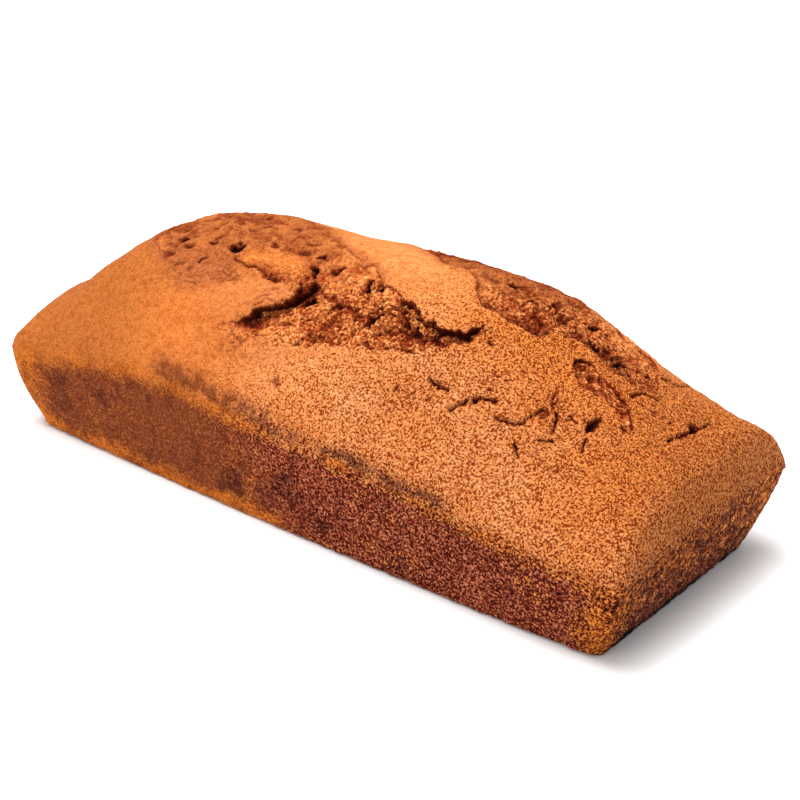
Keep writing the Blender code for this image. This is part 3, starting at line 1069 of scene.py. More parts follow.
# %% Build the crumb
def make_torn_crumb():
    bm = bmesh.new()
    for outline in TEARS:
        low = np.min(outline, axis=0) * MM - 2 * CRUMB_MARGIN
        size = np.ptp(outline, axis=0) * MM + 4 * CRUMB_MARGIN
        cells = np.ceil(size / CRUMB_CELL).astype(int)
        place = Matrix.Translation((*(low + size / 2), 0)) @ Matrix.Diagonal((*(size / 2), 1, 1))
        made = bmesh.ops.create_grid(
            bm, x_segments=int(cells[0]), y_segments=int(cells[1]), size=1, matrix=place
        )["verts"]
        plan = np.array([vert.co[:2] for vert in made])
        x, y = ragged(dome(plan[:, 0] / (LENGTH / 2), plan[:, 1] / (WIDTH / 2)))
        outside = depth_inside(outline, x, y) < -CRUMB_MARGIN
        bmesh.ops.delete(bm, geom=[vert for vert, out in zip(made, outside) if out], context="VERTS")
    loose = [vert for vert in bm.verts if len(vert.link_faces) == 0]
    bmesh.ops.delete(bm, geom=loose, context="VERTS")
    foot = add_rows(bm, 1, -1)
    bmesh.ops.edgeloop_fill(bm, edges=foot)
    mesh = to_mesh(bm, "torn_crumb")
    plan = read(mesh)
    top = plan[:, 2] > -0.5
    points = dome(plan[:, 0] / (LENGTH / 2), plan[:, 1] / (WIDTH / 2))
    points[~top, 2] = CRUMB_FOOT
    write(mesh, points)
    x, y = ragged(points)
    inward = inside_tears(x, y)
    height, raised, hollow, skin = crumb_relief(points, inward, x, y)
    write(mesh, within_box(points + outward(mesh) * (height * top)[:, None]))
    # raised carries a painted highlight on knobs, hollow the painted shade in the crumb
    keep(mesh, "raised", raised)
    keep(mesh, "hollow", hollow)
    keep(mesh, "skin", skin)
    keep(mesh, "dusty", near_line(DUSTY, DUSTY_WIDTH, x, y))
    keep(mesh, "coarse", crumb_coarseness(points))
    dull = np.minimum(DULLNESS * np.max([oval(x, y, place) for place in DULL_CRUMB], axis=0), 1)
    reach, share = DULL_RIDGE
    keep(mesh, "dull", np.maximum(dull, share * near_line(RIDGE_BORDER, reach, x, y)))
    return mesh


torn_crumb = piece_from(make_torn_crumb())

# %% [markdown]
# ## Tin crust
#
# The base is a coarse grid, because nobody looks at it closely. Its edge is divided into short steps,
# and from there fine rows climb the sides, go round the brow, and end a little way under the top
# crust, where they are closed inside the loaf.

# %% Build the tin crust
BASE_CELLS = (92, 40)
EDGE_CUTS = 3
EDGE_ROWS = 5
SIDE_ROWS = 50
OVERLAP_ROWS = 6
OVERLAP_STEP = 0.6 * MM
OVERLAP_SINK = 0.3
CLOSED_HIGHER = 5 * MM  # than the top crust is closed, so that the two don't coincide
FOOT_HEIGHT = 5 * MM
FOOT_RAGGED = (4 * MM, 1.0 * MM)  # (size, depth) of the places where the bottom edge crumbled
# Share of painted shade in the tin crust's pits
TIN_PIT_DARK = 0.6


def make_tin_crust():
    bm = bmesh.new()
    bmesh.ops.create_grid(bm, x_segments=BASE_CELLS[0], y_segments=BASE_CELLS[1], size=1)
    rim = [edge for edge in bm.edges if edge.is_boundary]
    bmesh.ops.subdivide_edges(bm, edges=rim, cuts=EDGE_CUTS)
    last = add_rows(bm, EDGE_ROWS + SIDE_ROWS + OVERLAP_ROWS + 1, 1)
    bmesh.ops.contextual_create(bm, geom=last)
    mesh = to_mesh(bm, "tin_crust")
    u, v, level = read(mesh).T
    row = np.round(level)
    turn = np.clip(1 - row / EDGE_ROWS, 0, 1)
    down = np.clip(1 - (row - EDGE_ROWS) / SIDE_ROWS, 0, 1)
    over = np.clip(row - EDGE_ROWS - SIDE_ROWS, 0, OVERLAP_ROWS) * OVERLAP_STEP
    points = side(u, v, down, turn)
    rise = dome(u, v)[:, 2]
    climbed = over > 0
    inset = RIM_ROUNDING * (1 - np.cos(over[climbed] / RIM_ROUNDING))
    shrink = 1 - inset / (WIDTH / 2)
    points[climbed] = dome(u[climbed] * (1 - inset / (LENGTH / 2)), v[climbed] * shrink)
    above = np.where(climbed, over, -down * rise - turn * BASE_EDGE_RADIUS)
    closing = row > EDGE_ROWS + SIDE_ROWS + OVERLAP_ROWS
    points[closing] = points[closing] * (INNER_PLACE, INNER_PLACE, 0) + (0, 0, INNER_FLOOR + CLOSED_HIGHER)
    on_base = row == 0
    points[on_base, 2] = 0
    write(mesh, points)
    normals = outward(mesh)
    waves, pit = crust_grain(points, above)
    waves -= OVERLAP_SINK * over
    points = points + normals * (waves * ~closing)[:, None]
    size, depth = FOOT_RAGGED
    crumbled = depth * ease(0.3 + grain(points, size, 3, seed=18))
    crumbled *= ease(1 - points[:, 2] / FOOT_HEIGHT)
    points[:, :2] -= normals[:, :2] * crumbled[:, None]
    write(mesh, within_box(points))
    keep_crust(mesh, points, above)
    keep(mesh, "hollow", TIN_PIT_DARK * pit)
    keep(mesh, "torn", np.zeros(len(points)))
    keep(mesh, "dusty", np.zeros(len(points)))
    return mesh


tin_crust = piece_from(make_tin_crust())

# %% [markdown]
# ## Loose crumbs
#
# When a crust tears, crumbs break off and lie in the tears and along their borders. Each one here is a
# small icosphere of 80 faces, squashed and pushed out of round. A ray dropped onto the finished pieces
# finds the surface that it lies on. The random numbers start from a fixed seed, so the crumbs lie in the
# same places every time, and all of them are one piece.

# %% Scatter the crumbs
CRUMB_COUNT = 360
CRUMB_SEED = 7
CRUMB_RADIUS = (0.22 * MM, 0.5 * MM)
CRUMB_SMALLER = (0.6, 1)
CRUMB_WIDTH = (0.6, 1)
CRUMB_THICKNESS = (0.5, 0.9)
CRUMB_FLAT = 0.6  # a squashed crumb lies lower than a round one
CRUMB_LUMPY = (0.9, 0.35)  # (how fine, how far) it is pushed out of round
CRUMB_REACH = 5.0 * MM
CRUMB_SUNK = 0.35  # of its radius
CLEAR_OF_GAPS = 4.0 * MM


def surface_under(trees, x, y):
    """Highest point of the given pieces under a place in plan, and the direction out of it."""
    hits = [tree.ray_cast(Vector((x, y, 1)), Vector((0, 0, -1))) for tree in trees]
    hits = [hit for hit in hits if hit[0] is not None]
    return max(hits, key=lambda hit: hit[0].z)[:2] if hits else (None, None)


def tree_of(piece):
    """Search tree of a piece's faces, for dropping rays onto it."""
    bm = bmesh.new()
    bm.from_mesh(piece.data)
    tree = BVHTree.FromBMesh(bm)
    bm.free()
    return tree


def add_crumb(bm, centre, up, radius, rng):
    """One crumb: an icosphere, squashed across its own direction and pushed out of round."""
    turn = up.to_track_quat("Z", "Y").to_matrix().to_4x4() @ Matrix.Rotation(rng.uniform(0, math.tau), 4, "Z")
    width = radius * rng.uniform(*CRUMB_WIDTH)
    thickness = radius * rng.uniform(*CRUMB_THICKNESS)
    size = Matrix.Diagonal((radius, width, thickness, 1))
    made = bmesh.ops.create_icosphere(
        bm, subdivisions=2, radius=1, matrix=Matrix.Translation(centre) @ turn @ size
    )["verts"]
    fine, far = CRUMB_LUMPY
    for vert in made:
        away = vert.co - centre
        vert.co = centre + away * (1 + far * noise.noise(vert.co / radius * fine))


def make_crumb_bits():
    rng = random.Random(CRUMB_SEED)
    trees = [tree_of(dome_crust), tree_of(torn_crumb)]
    bm = bmesh.new()
    lines = [rounded_line(outline, closed=True) for outline in TEARS]
    lines += [rounded_line(crack, closed=False) for crack in CRACKS]
    shares = [len(line) for line in lines]
    gaps = [rounded_line(line, closed=False) for _, line in GAPS]
    for _ in range(CRUMB_COUNT):
        line = rng.choices(lines, shares)[0]
        x, y = line[rng.randrange(len(line))]
        x += rng.gauss(0, CRUMB_REACH / 2)
        y += rng.gauss(0, CRUMB_REACH / 2)
        place = np.array([x]), np.array([y])
        if min(distance_to(gap, *place, closed=False)[0] for gap in gaps) < CLEAR_OF_GAPS:
            continue
        centre, up = surface_under(trees, x, y)
        radius = rng.uniform(*CRUMB_RADIUS) * rng.uniform(*CRUMB_SMALLER)
        if centre is not None and centre.y < 0 and centre.z < loaf_high.z - 2 * radius:
            add_crumb(bm, centre + up * radius * (1 - CRUMB_SUNK) * CRUMB_FLAT, up, radius, rng)
    return to_mesh(bm, "crumb_bits")


crumb_bits = piece_from(make_crumb_bits())

# %% [markdown]
# ## Materials
#
# Colours here are written as they look on a screen, from 0 to 255, and turned into the linear numbers
# that the shader works with.

# %% Helpers for materials
# The Mix node has a set of sockets for each kind of value; these are the ones for colours
MIX_COLOUR_INPUTS = (0, 6, 7)
MIX_COLOUR_OUTPUT = 2


def paint(red, green, blue):
    """A colour as it looks on a screen, in the shader's linear numbers."""
    linear = [c / 12.92 if c <= 0.04045 else ((c + 0.055) / 1.055) ** 2.4 for c in
              (red / 255, green / 255, blue / 255)]
    return (*linear, 1.0)


def feed(tree, socket, value):
    """Give an input a number, a colour or another node's output."""
    if isinstance(value, bpy.types.NodeSocket):
        tree.links.new(value, socket)
    else:
        socket.default_value = value


def put(tree, kind, values=None, **settings):
    """Add a node; values gives its inputs a number, a colour or another node's output."""
    node = tree.nodes.new("ShaderNode" + kind)
    for name, value in settings.items():
        setattr(node, name, value)
    for name, value in (values or {}).items():
        feed(tree, node.inputs[name], value)
    return node


def mix(tree, share, first, second, blend="MIX"):
    """Blend two colours by a share from 0 to 1."""
    node = put(tree, "Mix", data_type="RGBA", blend_type=blend)
    for number, value in zip(MIX_COLOUR_INPUTS, (share, first, second)):
        feed(tree, node.inputs[number], value)
    return node.outputs[MIX_COLOUR_OUTPUT]


def shade(tree, colour, share, times):
    """Multiply a colour by shares of red, green and blue, fading in with a share from 0 to 1."""
    return mix(tree, share, colour, times, "MULTIPLY")


def ramp(tree, value, start, end, low=0.0, high=1.0):
    """Turn a value's range from start to end into low to high, smoothly."""
    node = put(tree, "MapRange", {"Value": value, "From Min": start, "From Max": end,
                                  "To Min": low, "To Max": high}, interpolation_type="SMOOTHSTEP")
    return node.outputs["Result"]


def maths(tree, operation, first, second=0.0):
    """One sum on two values."""
    node = put(tree, "Math", operation=operation)
    for socket, value in zip(node.inputs, (first, second)):
        feed(tree, socket, value)
    return node.outputs[0]


def up_to_one(tree, value, times):
    """Multiply a value, and hold it at 1 or less."""
    return maths(tree, "MINIMUM", maths(tree, "MULTIPLY", value, times), 1.0)


def start_group(name, inputs, outputs):
    """A shader node group with named inputs and outputs: (name, kind) or (name, kind, value)."""
    tree = bpy.data.node_groups.new(name, "ShaderNodeTree")
    for socket_name, kind, *value in inputs:
        socket = tree.interface.new_socket(socket_name, in_out="INPUT", socket_type="NodeSocket" + kind)
        if value:
            socket.default_value = value[0]
    for socket_name, kind in outputs:
        tree.interface.new_socket(socket_name, in_out="OUTPUT", socket_type="NodeSocket" + kind)
    return tree, tree.nodes.new("NodeGroupInput").outputs, tree.nodes.new("NodeGroupOutput").inputs


def use_group(tree, group, values):
    """Place a group in a material with its own values."""
    node = tree.nodes.new("ShaderNodeGroup")
    node.node_tree = group
    for name, value in values.items():
        feed(tree, node.inputs[name], value)
    return node.outputs


print("a golden brown in linear numbers:", [round(value, 3) for value in paint(192, 103, 32)])

# %% [markdown]
# ## Fine grain
#
# A baked crust is covered with pits and winding wrinkles finer than a millimetre. Made as faces they
# would need millions, so they are a pattern in the material: noise with a little distortion gives the
# wrinkles, and a cell pattern adds round specks. A group puts out where the pits and the peaks are, and
# a height for the bump. Object coordinates keep the pattern in place on all pieces.

# %% Group: fine grain, the pits, winding wrinkles and peaks of a baked crust
MM_PER_METRE = 1000.0
SPECK_SCALE = 0.22  # cells of the specks for each wrinkle
SPECK_CELLS = 0.72  # cells with a lower draw than this have no speck
PEAK_RANGE = (0.52, 0.66)


def make_fine_grain():
    tree, given, result = start_group(
        "fine_grain",
        [("Spacing", "Float", 1.2), ("Cover", "Float", 0.4), ("Softness", "Float", 0.06),
         ("Specks", "Float", 0.3)],
        [("Pits", "Float"), ("Peaks", "Float"), ("Relief", "Float")],
    )
    place = put(tree, "TexCoord").outputs["Object"]
    scale = maths(tree, "DIVIDE", MM_PER_METRE, given["Spacing"])
    worms = put(tree, "TexNoise", {"Vector": place, "Scale": scale, "Detail": 1.0,
                                   "Roughness": 0.5, "Distortion": 0.5}).outputs["Fac"]
    low = maths(tree, "SUBTRACT", given["Cover"], given["Softness"])
    high = maths(tree, "ADD", given["Cover"], given["Softness"])
    pits = put(tree, "MapRange", {"Value": worms, "From Min": low, "From Max": high,
                                  "To Min": 1.0, "To Max": 0.0}).outputs["Result"]
    cells = put(tree, "TexVoronoi", {"Vector": place, "Scale": maths(tree, "MULTIPLY", scale, SPECK_SCALE)})
    size = put(tree, "SeparateColor", {"Color": cells.outputs["Color"]}).outputs["Red"]
    reach = maths(tree, "MULTIPLY", maths(tree, "SUBTRACT", size, SPECK_CELLS), given["Specks"])
    close = maths(tree, "SUBTRACT", reach, cells.outputs["Distance"])
    specks = ramp(tree, close, -0.02, 0.05)
    tree.links.new(maths(tree, "MAXIMUM", pits, specks), result["Pits"])
    tree.links.new(ramp(tree, worms, *PEAK_RANGE), result["Peaks"])
    tree.links.new(maths(tree, "SUBTRACT", worms, maths(tree, "MULTIPLY", specks, 0.2)), result["Relief"])
    return tree


# %% [markdown]
# ## Mottling
#
# An oven never browns evenly. Noise of a few millimetres or centimetres gives soft patches, which
# several finishes use at different sizes, so the size is an input of the group.

# %% Group: mottling, the broad patches where the oven browned more
def make_mottling():
    tree, given, result = start_group(
        "mottling", [("Size", "Float", 20.0), ("Detail", "Float", 3.0)], [("Patches", "Float")]
    )
    place = put(tree, "TexCoord").outputs["Object"]
    scale = maths(tree, "DIVIDE", MM_PER_METRE, given["Size"])
    patches = put(tree, "TexNoise", {"Vector": place, "Scale": scale, "Detail": given["Detail"],
                                     "Roughness": 0.6})
    tree.links.new(ramp(tree, patches.outputs["Fac"], 0.3, 0.7), result["Patches"])
    return tree


def patches(tree, size):
    """Soft patches of this size in millimetres."""
    return use_group(tree, mottling, {"Size": size})["Patches"]


fine_grain = make_fine_grain()
mottling = make_mottling()
print("groups:", fine_grain.name, mottling.name)

# %% [markdown]
# ## Colours
#
# A baked crust has few colours of its own. Most of what the eye sees is the same golden or brown made
# darker in a pit, partly by painted shade, and lighter on a peak by a painted highlight. A pit is not just
# darker but redder, since light bounces in it several times, so shades are three factors that multiply a
# colour, red least of all.

# %% Colours of the crusts and of the crumb, as they look on a screen
GOLDEN = (214, 135, 78)
DEEP_GOLDEN = (208, 124, 64)
AMBER_GOLDEN = (208, 119, 52)
TAN = (180, 100, 50)
LEFT_TAN = (164, 92, 40)
TOASTED = (186, 98, 44)
TIN_GOLDEN = (192, 103, 32)
TIN_BROWN = (134, 58, 32)
CRUMB_LOW = (144, 54, 18)
CRUMB_HIGH = (224, 136, 70)
CRUMB_SOFT = (150, 74, 32)
CRUMB_DUSTY = (158, 86, 44)

# What a pit, a hollow, a gap and a peak multiply the colour round them by, as shares of red, green, blue
# A pit darkens the crust partly as painted shade
PIT_SHADE = (0.38, 0.17, 0.05, 1)
TIN_PIT_SHADE = (0.28, 0.1, 0.06, 1)
SCORCH_SHADE = (0.4, 0.34, 0.42, 1)
# Near-black painted shadow at the right end's foot
FOOT_SHADOW_SHADE = (0.05, 0.05, 0.08, 1)
# Red-brown painted shade in hollows, cracks and pits
HOLLOW_SHADE = (0.3, 0.13, 0.08, 1)
LEFT_TIN_SHADE = (0.72, 0.84, 0.56, 1)
CLOUD_SHADE = (0.62, 0.52, 0.6, 1)
END_SHADE = (0.55, 0.42, 0.5, 1)
END_SHINE = (1.7, 1.9, 2.2, 1)
SOFT_SHADE = (0.86, 0.78, 0.66, 1)
# Near-black painted shadow in the gaps under the lip and the island
GAP_SHADE = (0.04, 0.01, 0.01, 1)
DULL_SHADE = (0.55, 0.48, 0.45, 1)
# Painted highlights on the peaks of the grain
PEAK_HIGHLIGHT = (1.3, 1.6, 2.3, 1)
TIN_PEAK_HIGHLIGHT = (2.1, 3.4, 5.2, 1)


# %% [markdown]
# ## Baked colour
#
# Golden crust and tin brown are each built up in layers: broad patches, then painted highlights on the
# peaks, then pits, darkened partly by painted shade. The two meet at the rim in a ragged line, because
# the grain is added to the distance from the rim before the colours are mixed. Smudges, the painted
# shadow at the right end's foot, torn edges and painted shade in hollows and gaps come last. Both
# crusts use this one group, so the seam between them can't be seen.

# %% Layers of the golden top crust and of the tin crust
CRUST_INPUTS = ("Above Rim", "Baked", "Smudge", "Hollow", "Torn", "Dusty", "Coarse", "Amber")
# Sizes of the patches, in millimetres
BROAD = 26.0
COVER = 9.0
CLOUDY = 7.0
SMALL = 4.5
GRITTY = 2.4
# Places along the loaf, in metres: (start, end), and the shares there if they aren't 0 and 1
TAN_AT = (0.08, 0.126, 0.0, 0.35)
LEFT_TAN_AT = (-0.03, -0.088)
END_WALL_AT = (0.116, 0.122)
TOASTED_SHARE = 0.25
# Shares of the painted highlight on the peaks of the top and of the tin crust
TOP_PEAKS = 0.5
TIN_PEAKS = 0.85
BROWN_RANGE = (0.3, 1.35)


def golden_layers(tree, given, flecks, broad, small, gritty, place):
    """Top crust: golden, orange in places, tan towards the ends, then painted highlights and pits, partly
    painted shade.
    """
    colour = mix(tree, broad, paint(*GOLDEN), paint(*DEEP_GOLDEN))
    colour = mix(tree, given["Amber"], colour, paint(*AMBER_GOLDEN))
    colour = mix(tree, ramp(tree, place, *TAN_AT), colour, paint(*TAN))
    colour = mix(tree, ramp(tree, place, *LEFT_TAN_AT), colour, paint(*LEFT_TAN))
    colour = mix(tree, maths(tree, "MULTIPLY", small, TOASTED_SHARE), colour, paint(*TOASTED))
    colour = mix(tree, given["Dusty"], colour, paint(*CRUMB_DUSTY))
    soft = maths(tree, "MULTIPLY", ramp(tree, gritty, 0.6, 0.1), ramp(tree, given["Coarse"], 0.9, 0.4))
    colour = shade(tree, colour, soft, SOFT_SHADE)
    # Painted highlight on the peaks, then pits, darkened partly by painted shade
    peaks = maths(tree, "MULTIPLY", flecks["Peaks"], given["Coarse"])
    colour = shade(tree, colour, up_to_one(tree, peaks, TOP_PEAKS), PEAK_HIGHLIGHT)
    pits = up_to_one(tree, ramp(tree, flecks["Pits"], 0.3, 1.0), given["Coarse"])
    return shade(tree, colour, pits, PIT_SHADE)


def tin_layers(tree, given, flecks, grain, broad, small, gritty, place):
    """Tin crust: golden to brown, painted highlights on peaks, pits partly painted shade, clouds, more
    contrast on the right end.
    """
    brown = maths(tree, "ADD", given["Baked"], maths(tree, "MULTIPLY", broad, 0.4))
    brown = maths(tree, "ADD", brown, maths(tree, "MULTIPLY", small, 0.4))
    brown = maths(tree, "ADD", brown, maths(tree, "MULTIPLY", grain, 1.2))
    brown = ramp(tree, brown, *BROWN_RANGE)
    tin_brown = shade(tree, paint(*TIN_BROWN), ramp(tree, given["Coarse"], 1.2, 0.35), LEFT_TIN_SHADE)
    colour = mix(tree, brown, paint(*TIN_GOLDEN), tin_brown)
    # Painted highlight on the peaks, then pits, darkened partly by painted shade
    peaks = maths(tree, "MULTIPLY", flecks["Peaks"], given["Coarse"])
    peak_highlight = mix(tree, brown, PEAK_HIGHLIGHT, TIN_PEAK_HIGHLIGHT)
    colour = shade(tree, colour, up_to_one(tree, peaks, TIN_PEAKS), peak_highlight)
    colour = shade(tree, colour, up_to_one(tree, flecks["Pits"], given["Coarse"]), TIN_PIT_SHADE)
    colour = shade(tree, colour, ramp(tree, patches(tree, CLOUDY), 0.5, 1.0, 0.0, 0.7), CLOUD_SHADE)
    at_end = ramp(tree, place, *END_WALL_AT)
    for pattern, times in ((ramp(tree, small, 0.3, 0.9), END_SHADE),
                           (ramp(tree, gritty, 0.5, 0.1), END_SHADE),
                           (ramp(tree, gritty, 0.5, 0.9), END_SHINE)):
        colour = shade(tree, colour, maths(tree, "MULTIPLY", pattern, at_end), times)
    return colour


print("patches of", [BROAD, COVER, CLOUDY, SMALL, GRITTY], "mm")

# %% [markdown]
# ## Joining the layers at the rim
#
# The two crusts' layers are mixed by the distance from the rim. A straight border would look painted,
# so patches and grain are added to the distance first.

# %% Group: baked colour, from golden on top to brown against the tin
RIM_RANGE = (-1.0, 8.0)
# How far patches and grain move the border between golden and brown, in millimetres at most
BROAD_AT_RIM = 5.0
SMALL_AT_RIM = 3.0
GRAIN_AT_RIM = 8.0


def make_baked_colour():
    tree, given, result = start_group(
        "baked_colour",
        [(name, "Float") for name in CRUST_INPUTS] + [("Spacing", "Float", 1.2)],
        [("Color", "Color"), ("Relief", "Float"), ("Roughness", "Float")],
    )
    place = put(tree, "SeparateXYZ", {"Vector": put(tree, "TexCoord").outputs["Object"]}).outputs["X"]
    broad = patches(tree, BROAD)
    small = patches(tree, SMALL)
    gritty = patches(tree, GRITTY)
    cover = ramp(tree, patches(tree, COVER), 0.0, 1.0, 0.44, 0.47)
    flecks = use_group(tree, fine_grain, {"Spacing": given["Spacing"], "Cover": cover,
                                          "Softness": 0.07, "Specks": 0.5})
    grain = maths(tree, "MULTIPLY", maths(tree, "SUBTRACT", 0.5, flecks["Relief"]), given["Coarse"])
    golden = golden_layers(tree, given, flecks, broad, small, gritty, place)
    tinned = tin_layers(tree, given, flecks, grain, broad, small, gritty, place)

    edge = maths(tree, "ADD", given["Above Rim"], maths(tree, "MULTIPLY", broad, BROAD_AT_RIM))
    edge = maths(tree, "ADD", edge, maths(tree, "MULTIPLY", small, SMALL_AT_RIM))
    edge = maths(tree, "SUBTRACT", edge, maths(tree, "MULTIPLY", grain, GRAIN_AT_RIM))
    colour = mix(tree, ramp(tree, edge, *RIM_RANGE), tinned, golden)
    smear = maths(tree, "ADD", ramp(tree, small, 0.1, 0.9, 0.55, 1.15), grain)
    colour = shade(tree, colour, up_to_one(tree, given["Smudge"], smear), SCORCH_SHADE)
    # Painted shadow at the right end's foot, where the smudge number passes 1.1
    colour = shade(tree, colour, ramp(tree, given["Smudge"], 1.1, 1.9), FOOT_SHADOW_SHADE)
    wall = mix(tree, ramp(tree, given["Coarse"], 0.35, 0.7), paint(*CRUMB_SOFT), paint(*CRUMB_LOW))
    colour = mix(tree, ramp(tree, given["Torn"], 0.03, 0.12), colour, wall)
    # Painted shade: red-brown in hollows, near-black in the gaps under the lip and the island
    colour = shade(tree, colour, ramp(tree, given["Hollow"], 0.0, 0.6), HOLLOW_SHADE)
    colour = shade(tree, colour, ramp(tree, given["Hollow"], 0.5, 1.0), GAP_SHADE)
    tree.links.new(colour, result["Color"])
    tree.links.new(maths(tree, "MULTIPLY", flecks["Relief"], given["Coarse"]), result["Relief"])
    tree.links.new(ramp(tree, flecks["Relief"], 0.35, 0.65, 0.9, 0.62), result["Roughness"])
    return tree


baked_colour = make_baked_colour()
print(len(baked_colour.nodes), "nodes in the baked colour")

# %% [markdown]
# ## Finishes
#
# Each finish is a Principled shader. The groups feed its colour, its roughness and a bump. Bread has
# almost no gloss, so the specular level is low and the roughness high. The crumb's finish is its own:
# raised knobs get a painted highlight, creases red-brown painted shade, and bubbles dark painted shade.

# %% Finishes
SPECULAR = 0.05
CRUST_BUMP = 1.2 * MM
CRUMB_BUMP = 1.0 * MM
CRUMB_PATCHES = 12.0
# Shares of the painted highlight on the crumb's peaks and of the partly painted shade in its pits
CRUMB_PEAKS = 0.8
CRUMB_PITS = 0.85
SKIN_SHARE = 0.8


def attribute(tree, name):
    """A number stored for each point of the mesh."""
    return put(tree, "Attribute", attribute_name=name).outputs["Fac"]


def start_material(name, roughness):
    material = bpy.data.materials.new(name)
    material.use_nodes = True
    surface = material.node_tree.nodes["Principled BSDF"]
    surface.inputs["Roughness"].default_value = roughness
    surface.inputs["Specular IOR Level"].default_value = SPECULAR
    return material, material.node_tree, surface


def set_bump(tree, surface, height, distance, strength=1.0):
    bump = put(tree, "Bump", {"Height": height, "Distance": distance, "Strength": strength})
    tree.links.new(bump.outputs["Normal"], surface.inputs["Normal"])


def crust_finish(name, spacing):
    material, tree, surface = start_material(name, 0.7)
    stored = {name: attribute(tree, name.lower().replace(" ", "_")) for name in CRUST_INPUTS}
    baked = use_group(tree, baked_colour, {**stored, "Spacing": spacing})
    tree.links.new(baked["Color"], surface.inputs["Base Color"])
    tree.links.new(baked["Roughness"], surface.inputs["Roughness"])
    set_bump(tree, surface, baked["Relief"], CRUST_BUMP)
    return material


def torn_crumb_finish():
    material, tree, surface = start_material("torn_crumb", 0.8)
    coarse = attribute(tree, "coarse")
    flecks = use_group(tree, fine_grain, {"Spacing": 0.85, "Cover": 0.46, "Softness": 0.07, "Specks": 0.8})
    broad = patches(tree, CRUMB_PATCHES)
    # Painted light and shade: lighter on raised knobs and grit, darker low down, and in random patches
    raised = maths(tree, "ADD", attribute(tree, "raised"), maths(tree, "SUBTRACT", broad, 0.5))
    colour = mix(tree, ramp(tree, raised, -0.8, 0.7), paint(*CRUMB_LOW), paint(*CRUMB_HIGH))
    colour = shade(tree, colour, attribute(tree, "dull"), DULL_SHADE)
    colour = mix(tree, attribute(tree, "dusty"), colour, paint(*CRUMB_DUSTY))
    skin = maths(tree, "MULTIPLY", attribute(tree, "skin"), SKIN_SHARE)
    colour = mix(tree, skin, colour, paint(*AMBER_GOLDEN))
    # Painted highlight on the peaks of the crumb, and pits darkened partly by painted shade
    peaks = up_to_one(tree, flecks["Peaks"], coarse)
    pits = up_to_one(tree, flecks["Pits"], coarse)
    colour = shade(tree, colour, maths(tree, "MULTIPLY", peaks, CRUMB_PEAKS), PEAK_HIGHLIGHT)
    colour = shade(tree, colour, maths(tree, "MULTIPLY", pits, CRUMB_PITS), PIT_SHADE)
    # Painted shade: red-brown in creases, bubbles and hollows, near-black under the lip
    hollow = attribute(tree, "hollow")
    colour = shade(tree, colour, ramp(tree, hollow, 0.0, 0.6), HOLLOW_SHADE)
    colour = shade(tree, colour, ramp(tree, hollow, 0.6, 1.0), GAP_SHADE)
    tree.links.new(colour, surface.inputs["Base Color"])
    tree.links.new(ramp(tree, flecks["Relief"], 0.35, 0.65, 0.95, 0.7), surface.inputs["Roughness"])
    set_bump(tree, surface, maths(tree, "MULTIPLY", flecks["Relief"], coarse), CRUMB_BUMP)
    return material


TOP_SPACING = 0.68  # millimetres between the wrinkles
TIN_SPACING = 0.8
dome_crust.data.materials.append(crust_finish("top_crust", TOP_SPACING))
tin_crust.data.materials.append(crust_finish("tin_crust", TIN_SPACING))
crumb_material = torn_crumb_finish()
torn_crumb.data.materials.append(crumb_material)
crumb_bits.data.materials.append(crumb_material)
for piece in (dome_crust, tin_crust, torn_crumb, crumb_bits):
    print(piece.name, "has the finish", piece.data.materials[0].name)

# %% [markdown]
# ## Floor
#
# The loaf stands on one large, plain, pale plane, so that nothing but its own shadow is beside it.

# %% Floor
FLOOR_SIZE = 6.0
FLOOR_COLOUR = (0.86, 0.86, 0.86, 1)


def make_floor():
    bm = bmesh.new()
    bmesh.ops.create_grid(bm, x_segments=1, y_segments=1, size=FLOOR_SIZE / 2)
    mesh = bpy.data.meshes.new("floor")
    bm.to_mesh(mesh)
    bm.free()
    floor = bpy.data.objects.new("floor", mesh)
    bpy.context.scene.collection.objects.link(floor)
    material, _, surface = start_material("floor", 0.9)
    surface.inputs["Base Color"].default_value = FLOOR_COLOUR
    mesh.materials.append(material)


make_floor()
print("floor:", FLOOR_SIZE, "m wide")

# %% [markdown]
# ## Light
#
# A large square lamp overhead and a weaker one in front stand in for soft studio light, and a bright
# plain sky fills the shadows. Small lamps would give the crust hard shadows and glints.

# %% Light
SKY = 0.65
# (name, place, size, power in watts)
LAMPS = (
    ("key_light", (-0.2, -0.2, 1.5), 1.0, 34.0),
    ("fill_light", (-0.2, -1.5, 0.7), 1.2, 8.0),
)


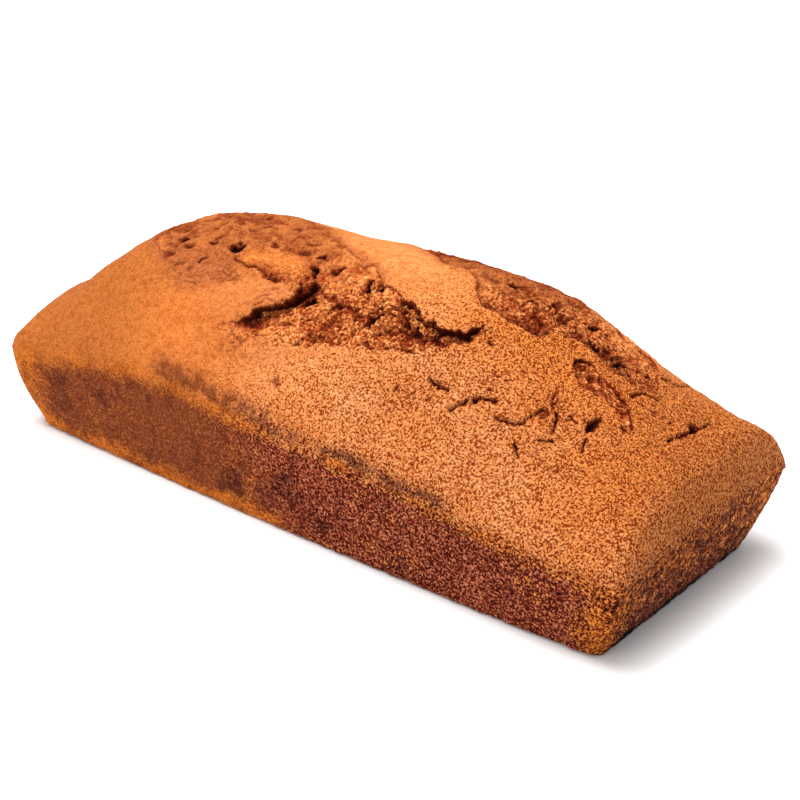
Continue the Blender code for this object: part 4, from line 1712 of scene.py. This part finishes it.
def make_light():
    world = bpy.data.worlds.new("studio")
    world.use_nodes = True
    world.node_tree.nodes["Background"].inputs["Color"].default_value = (1, 1, 1, 1)
    world.node_tree.nodes["Background"].inputs["Strength"].default_value = SKY
    bpy.context.scene.world = world
    for name, place, size, power in LAMPS:
        data = bpy.data.lights.new(name, "AREA")
        data.size = size
        data.energy = power
        lamp = bpy.data.objects.new(name, data)
        lamp.location = place
        lamp.rotation_euler = Vector(place).to_track_quat("Z", "Y").to_euler()
        bpy.context.scene.collection.objects.link(lamp)


make_light()
bpy.context.scene.view_settings.view_transform = "Standard"
print("lamps:", [lamp[0] for lamp in LAMPS])

# %% [markdown]
# ## Camera
#
# The camera looks at the near long side and the right end from a little above. It is given by two
# angles, a roll and a distance. A long lens keeps the loaf's long edges nearly parallel.

# %% Camera
CAMERA_AZIMUTH = math.radians(35.285)
CAMERA_ELEVATION = math.radians(24.497)
CAMERA_ROLL = math.radians(3.641)
CAMERA_DISTANCE = 0.6197
CAMERA_ASIDE = 7.77 * MM
CAMERA_ABOVE = 26.64 * MM
CAMERA_LIFT = 1.8 * MM
CAMERA_LENS = 80.49


def make_camera():
    flat = math.cos(CAMERA_ELEVATION)
    back = Vector((math.sin(CAMERA_AZIMUTH) * flat, -math.cos(CAMERA_AZIMUTH) * flat,
                   math.sin(CAMERA_ELEVATION)))
    level = Vector((math.cos(CAMERA_AZIMUTH), math.sin(CAMERA_AZIMUTH), 0))
    rise = back.cross(level)
    aside = level * math.cos(CAMERA_ROLL) + rise * math.sin(CAMERA_ROLL)
    up = rise * math.cos(CAMERA_ROLL) - level * math.sin(CAMERA_ROLL)
    data = bpy.data.cameras.new("camera")
    data.lens = CAMERA_LENS
    camera = bpy.data.objects.new("camera", data)
    place = back * CAMERA_DISTANCE + aside * CAMERA_ASIDE + up * CAMERA_ABOVE + Vector((0, 0, CAMERA_LIFT))
    turn = Matrix((aside, up, back)).transposed().to_4x4()
    camera.matrix_world = Matrix.Translation(place) @ turn
    bpy.context.scene.collection.objects.link(camera)
    bpy.context.scene.camera = camera
    return camera


camera = make_camera()
print("camera at", [round(value, 3) for value in camera.matrix_world.translation])
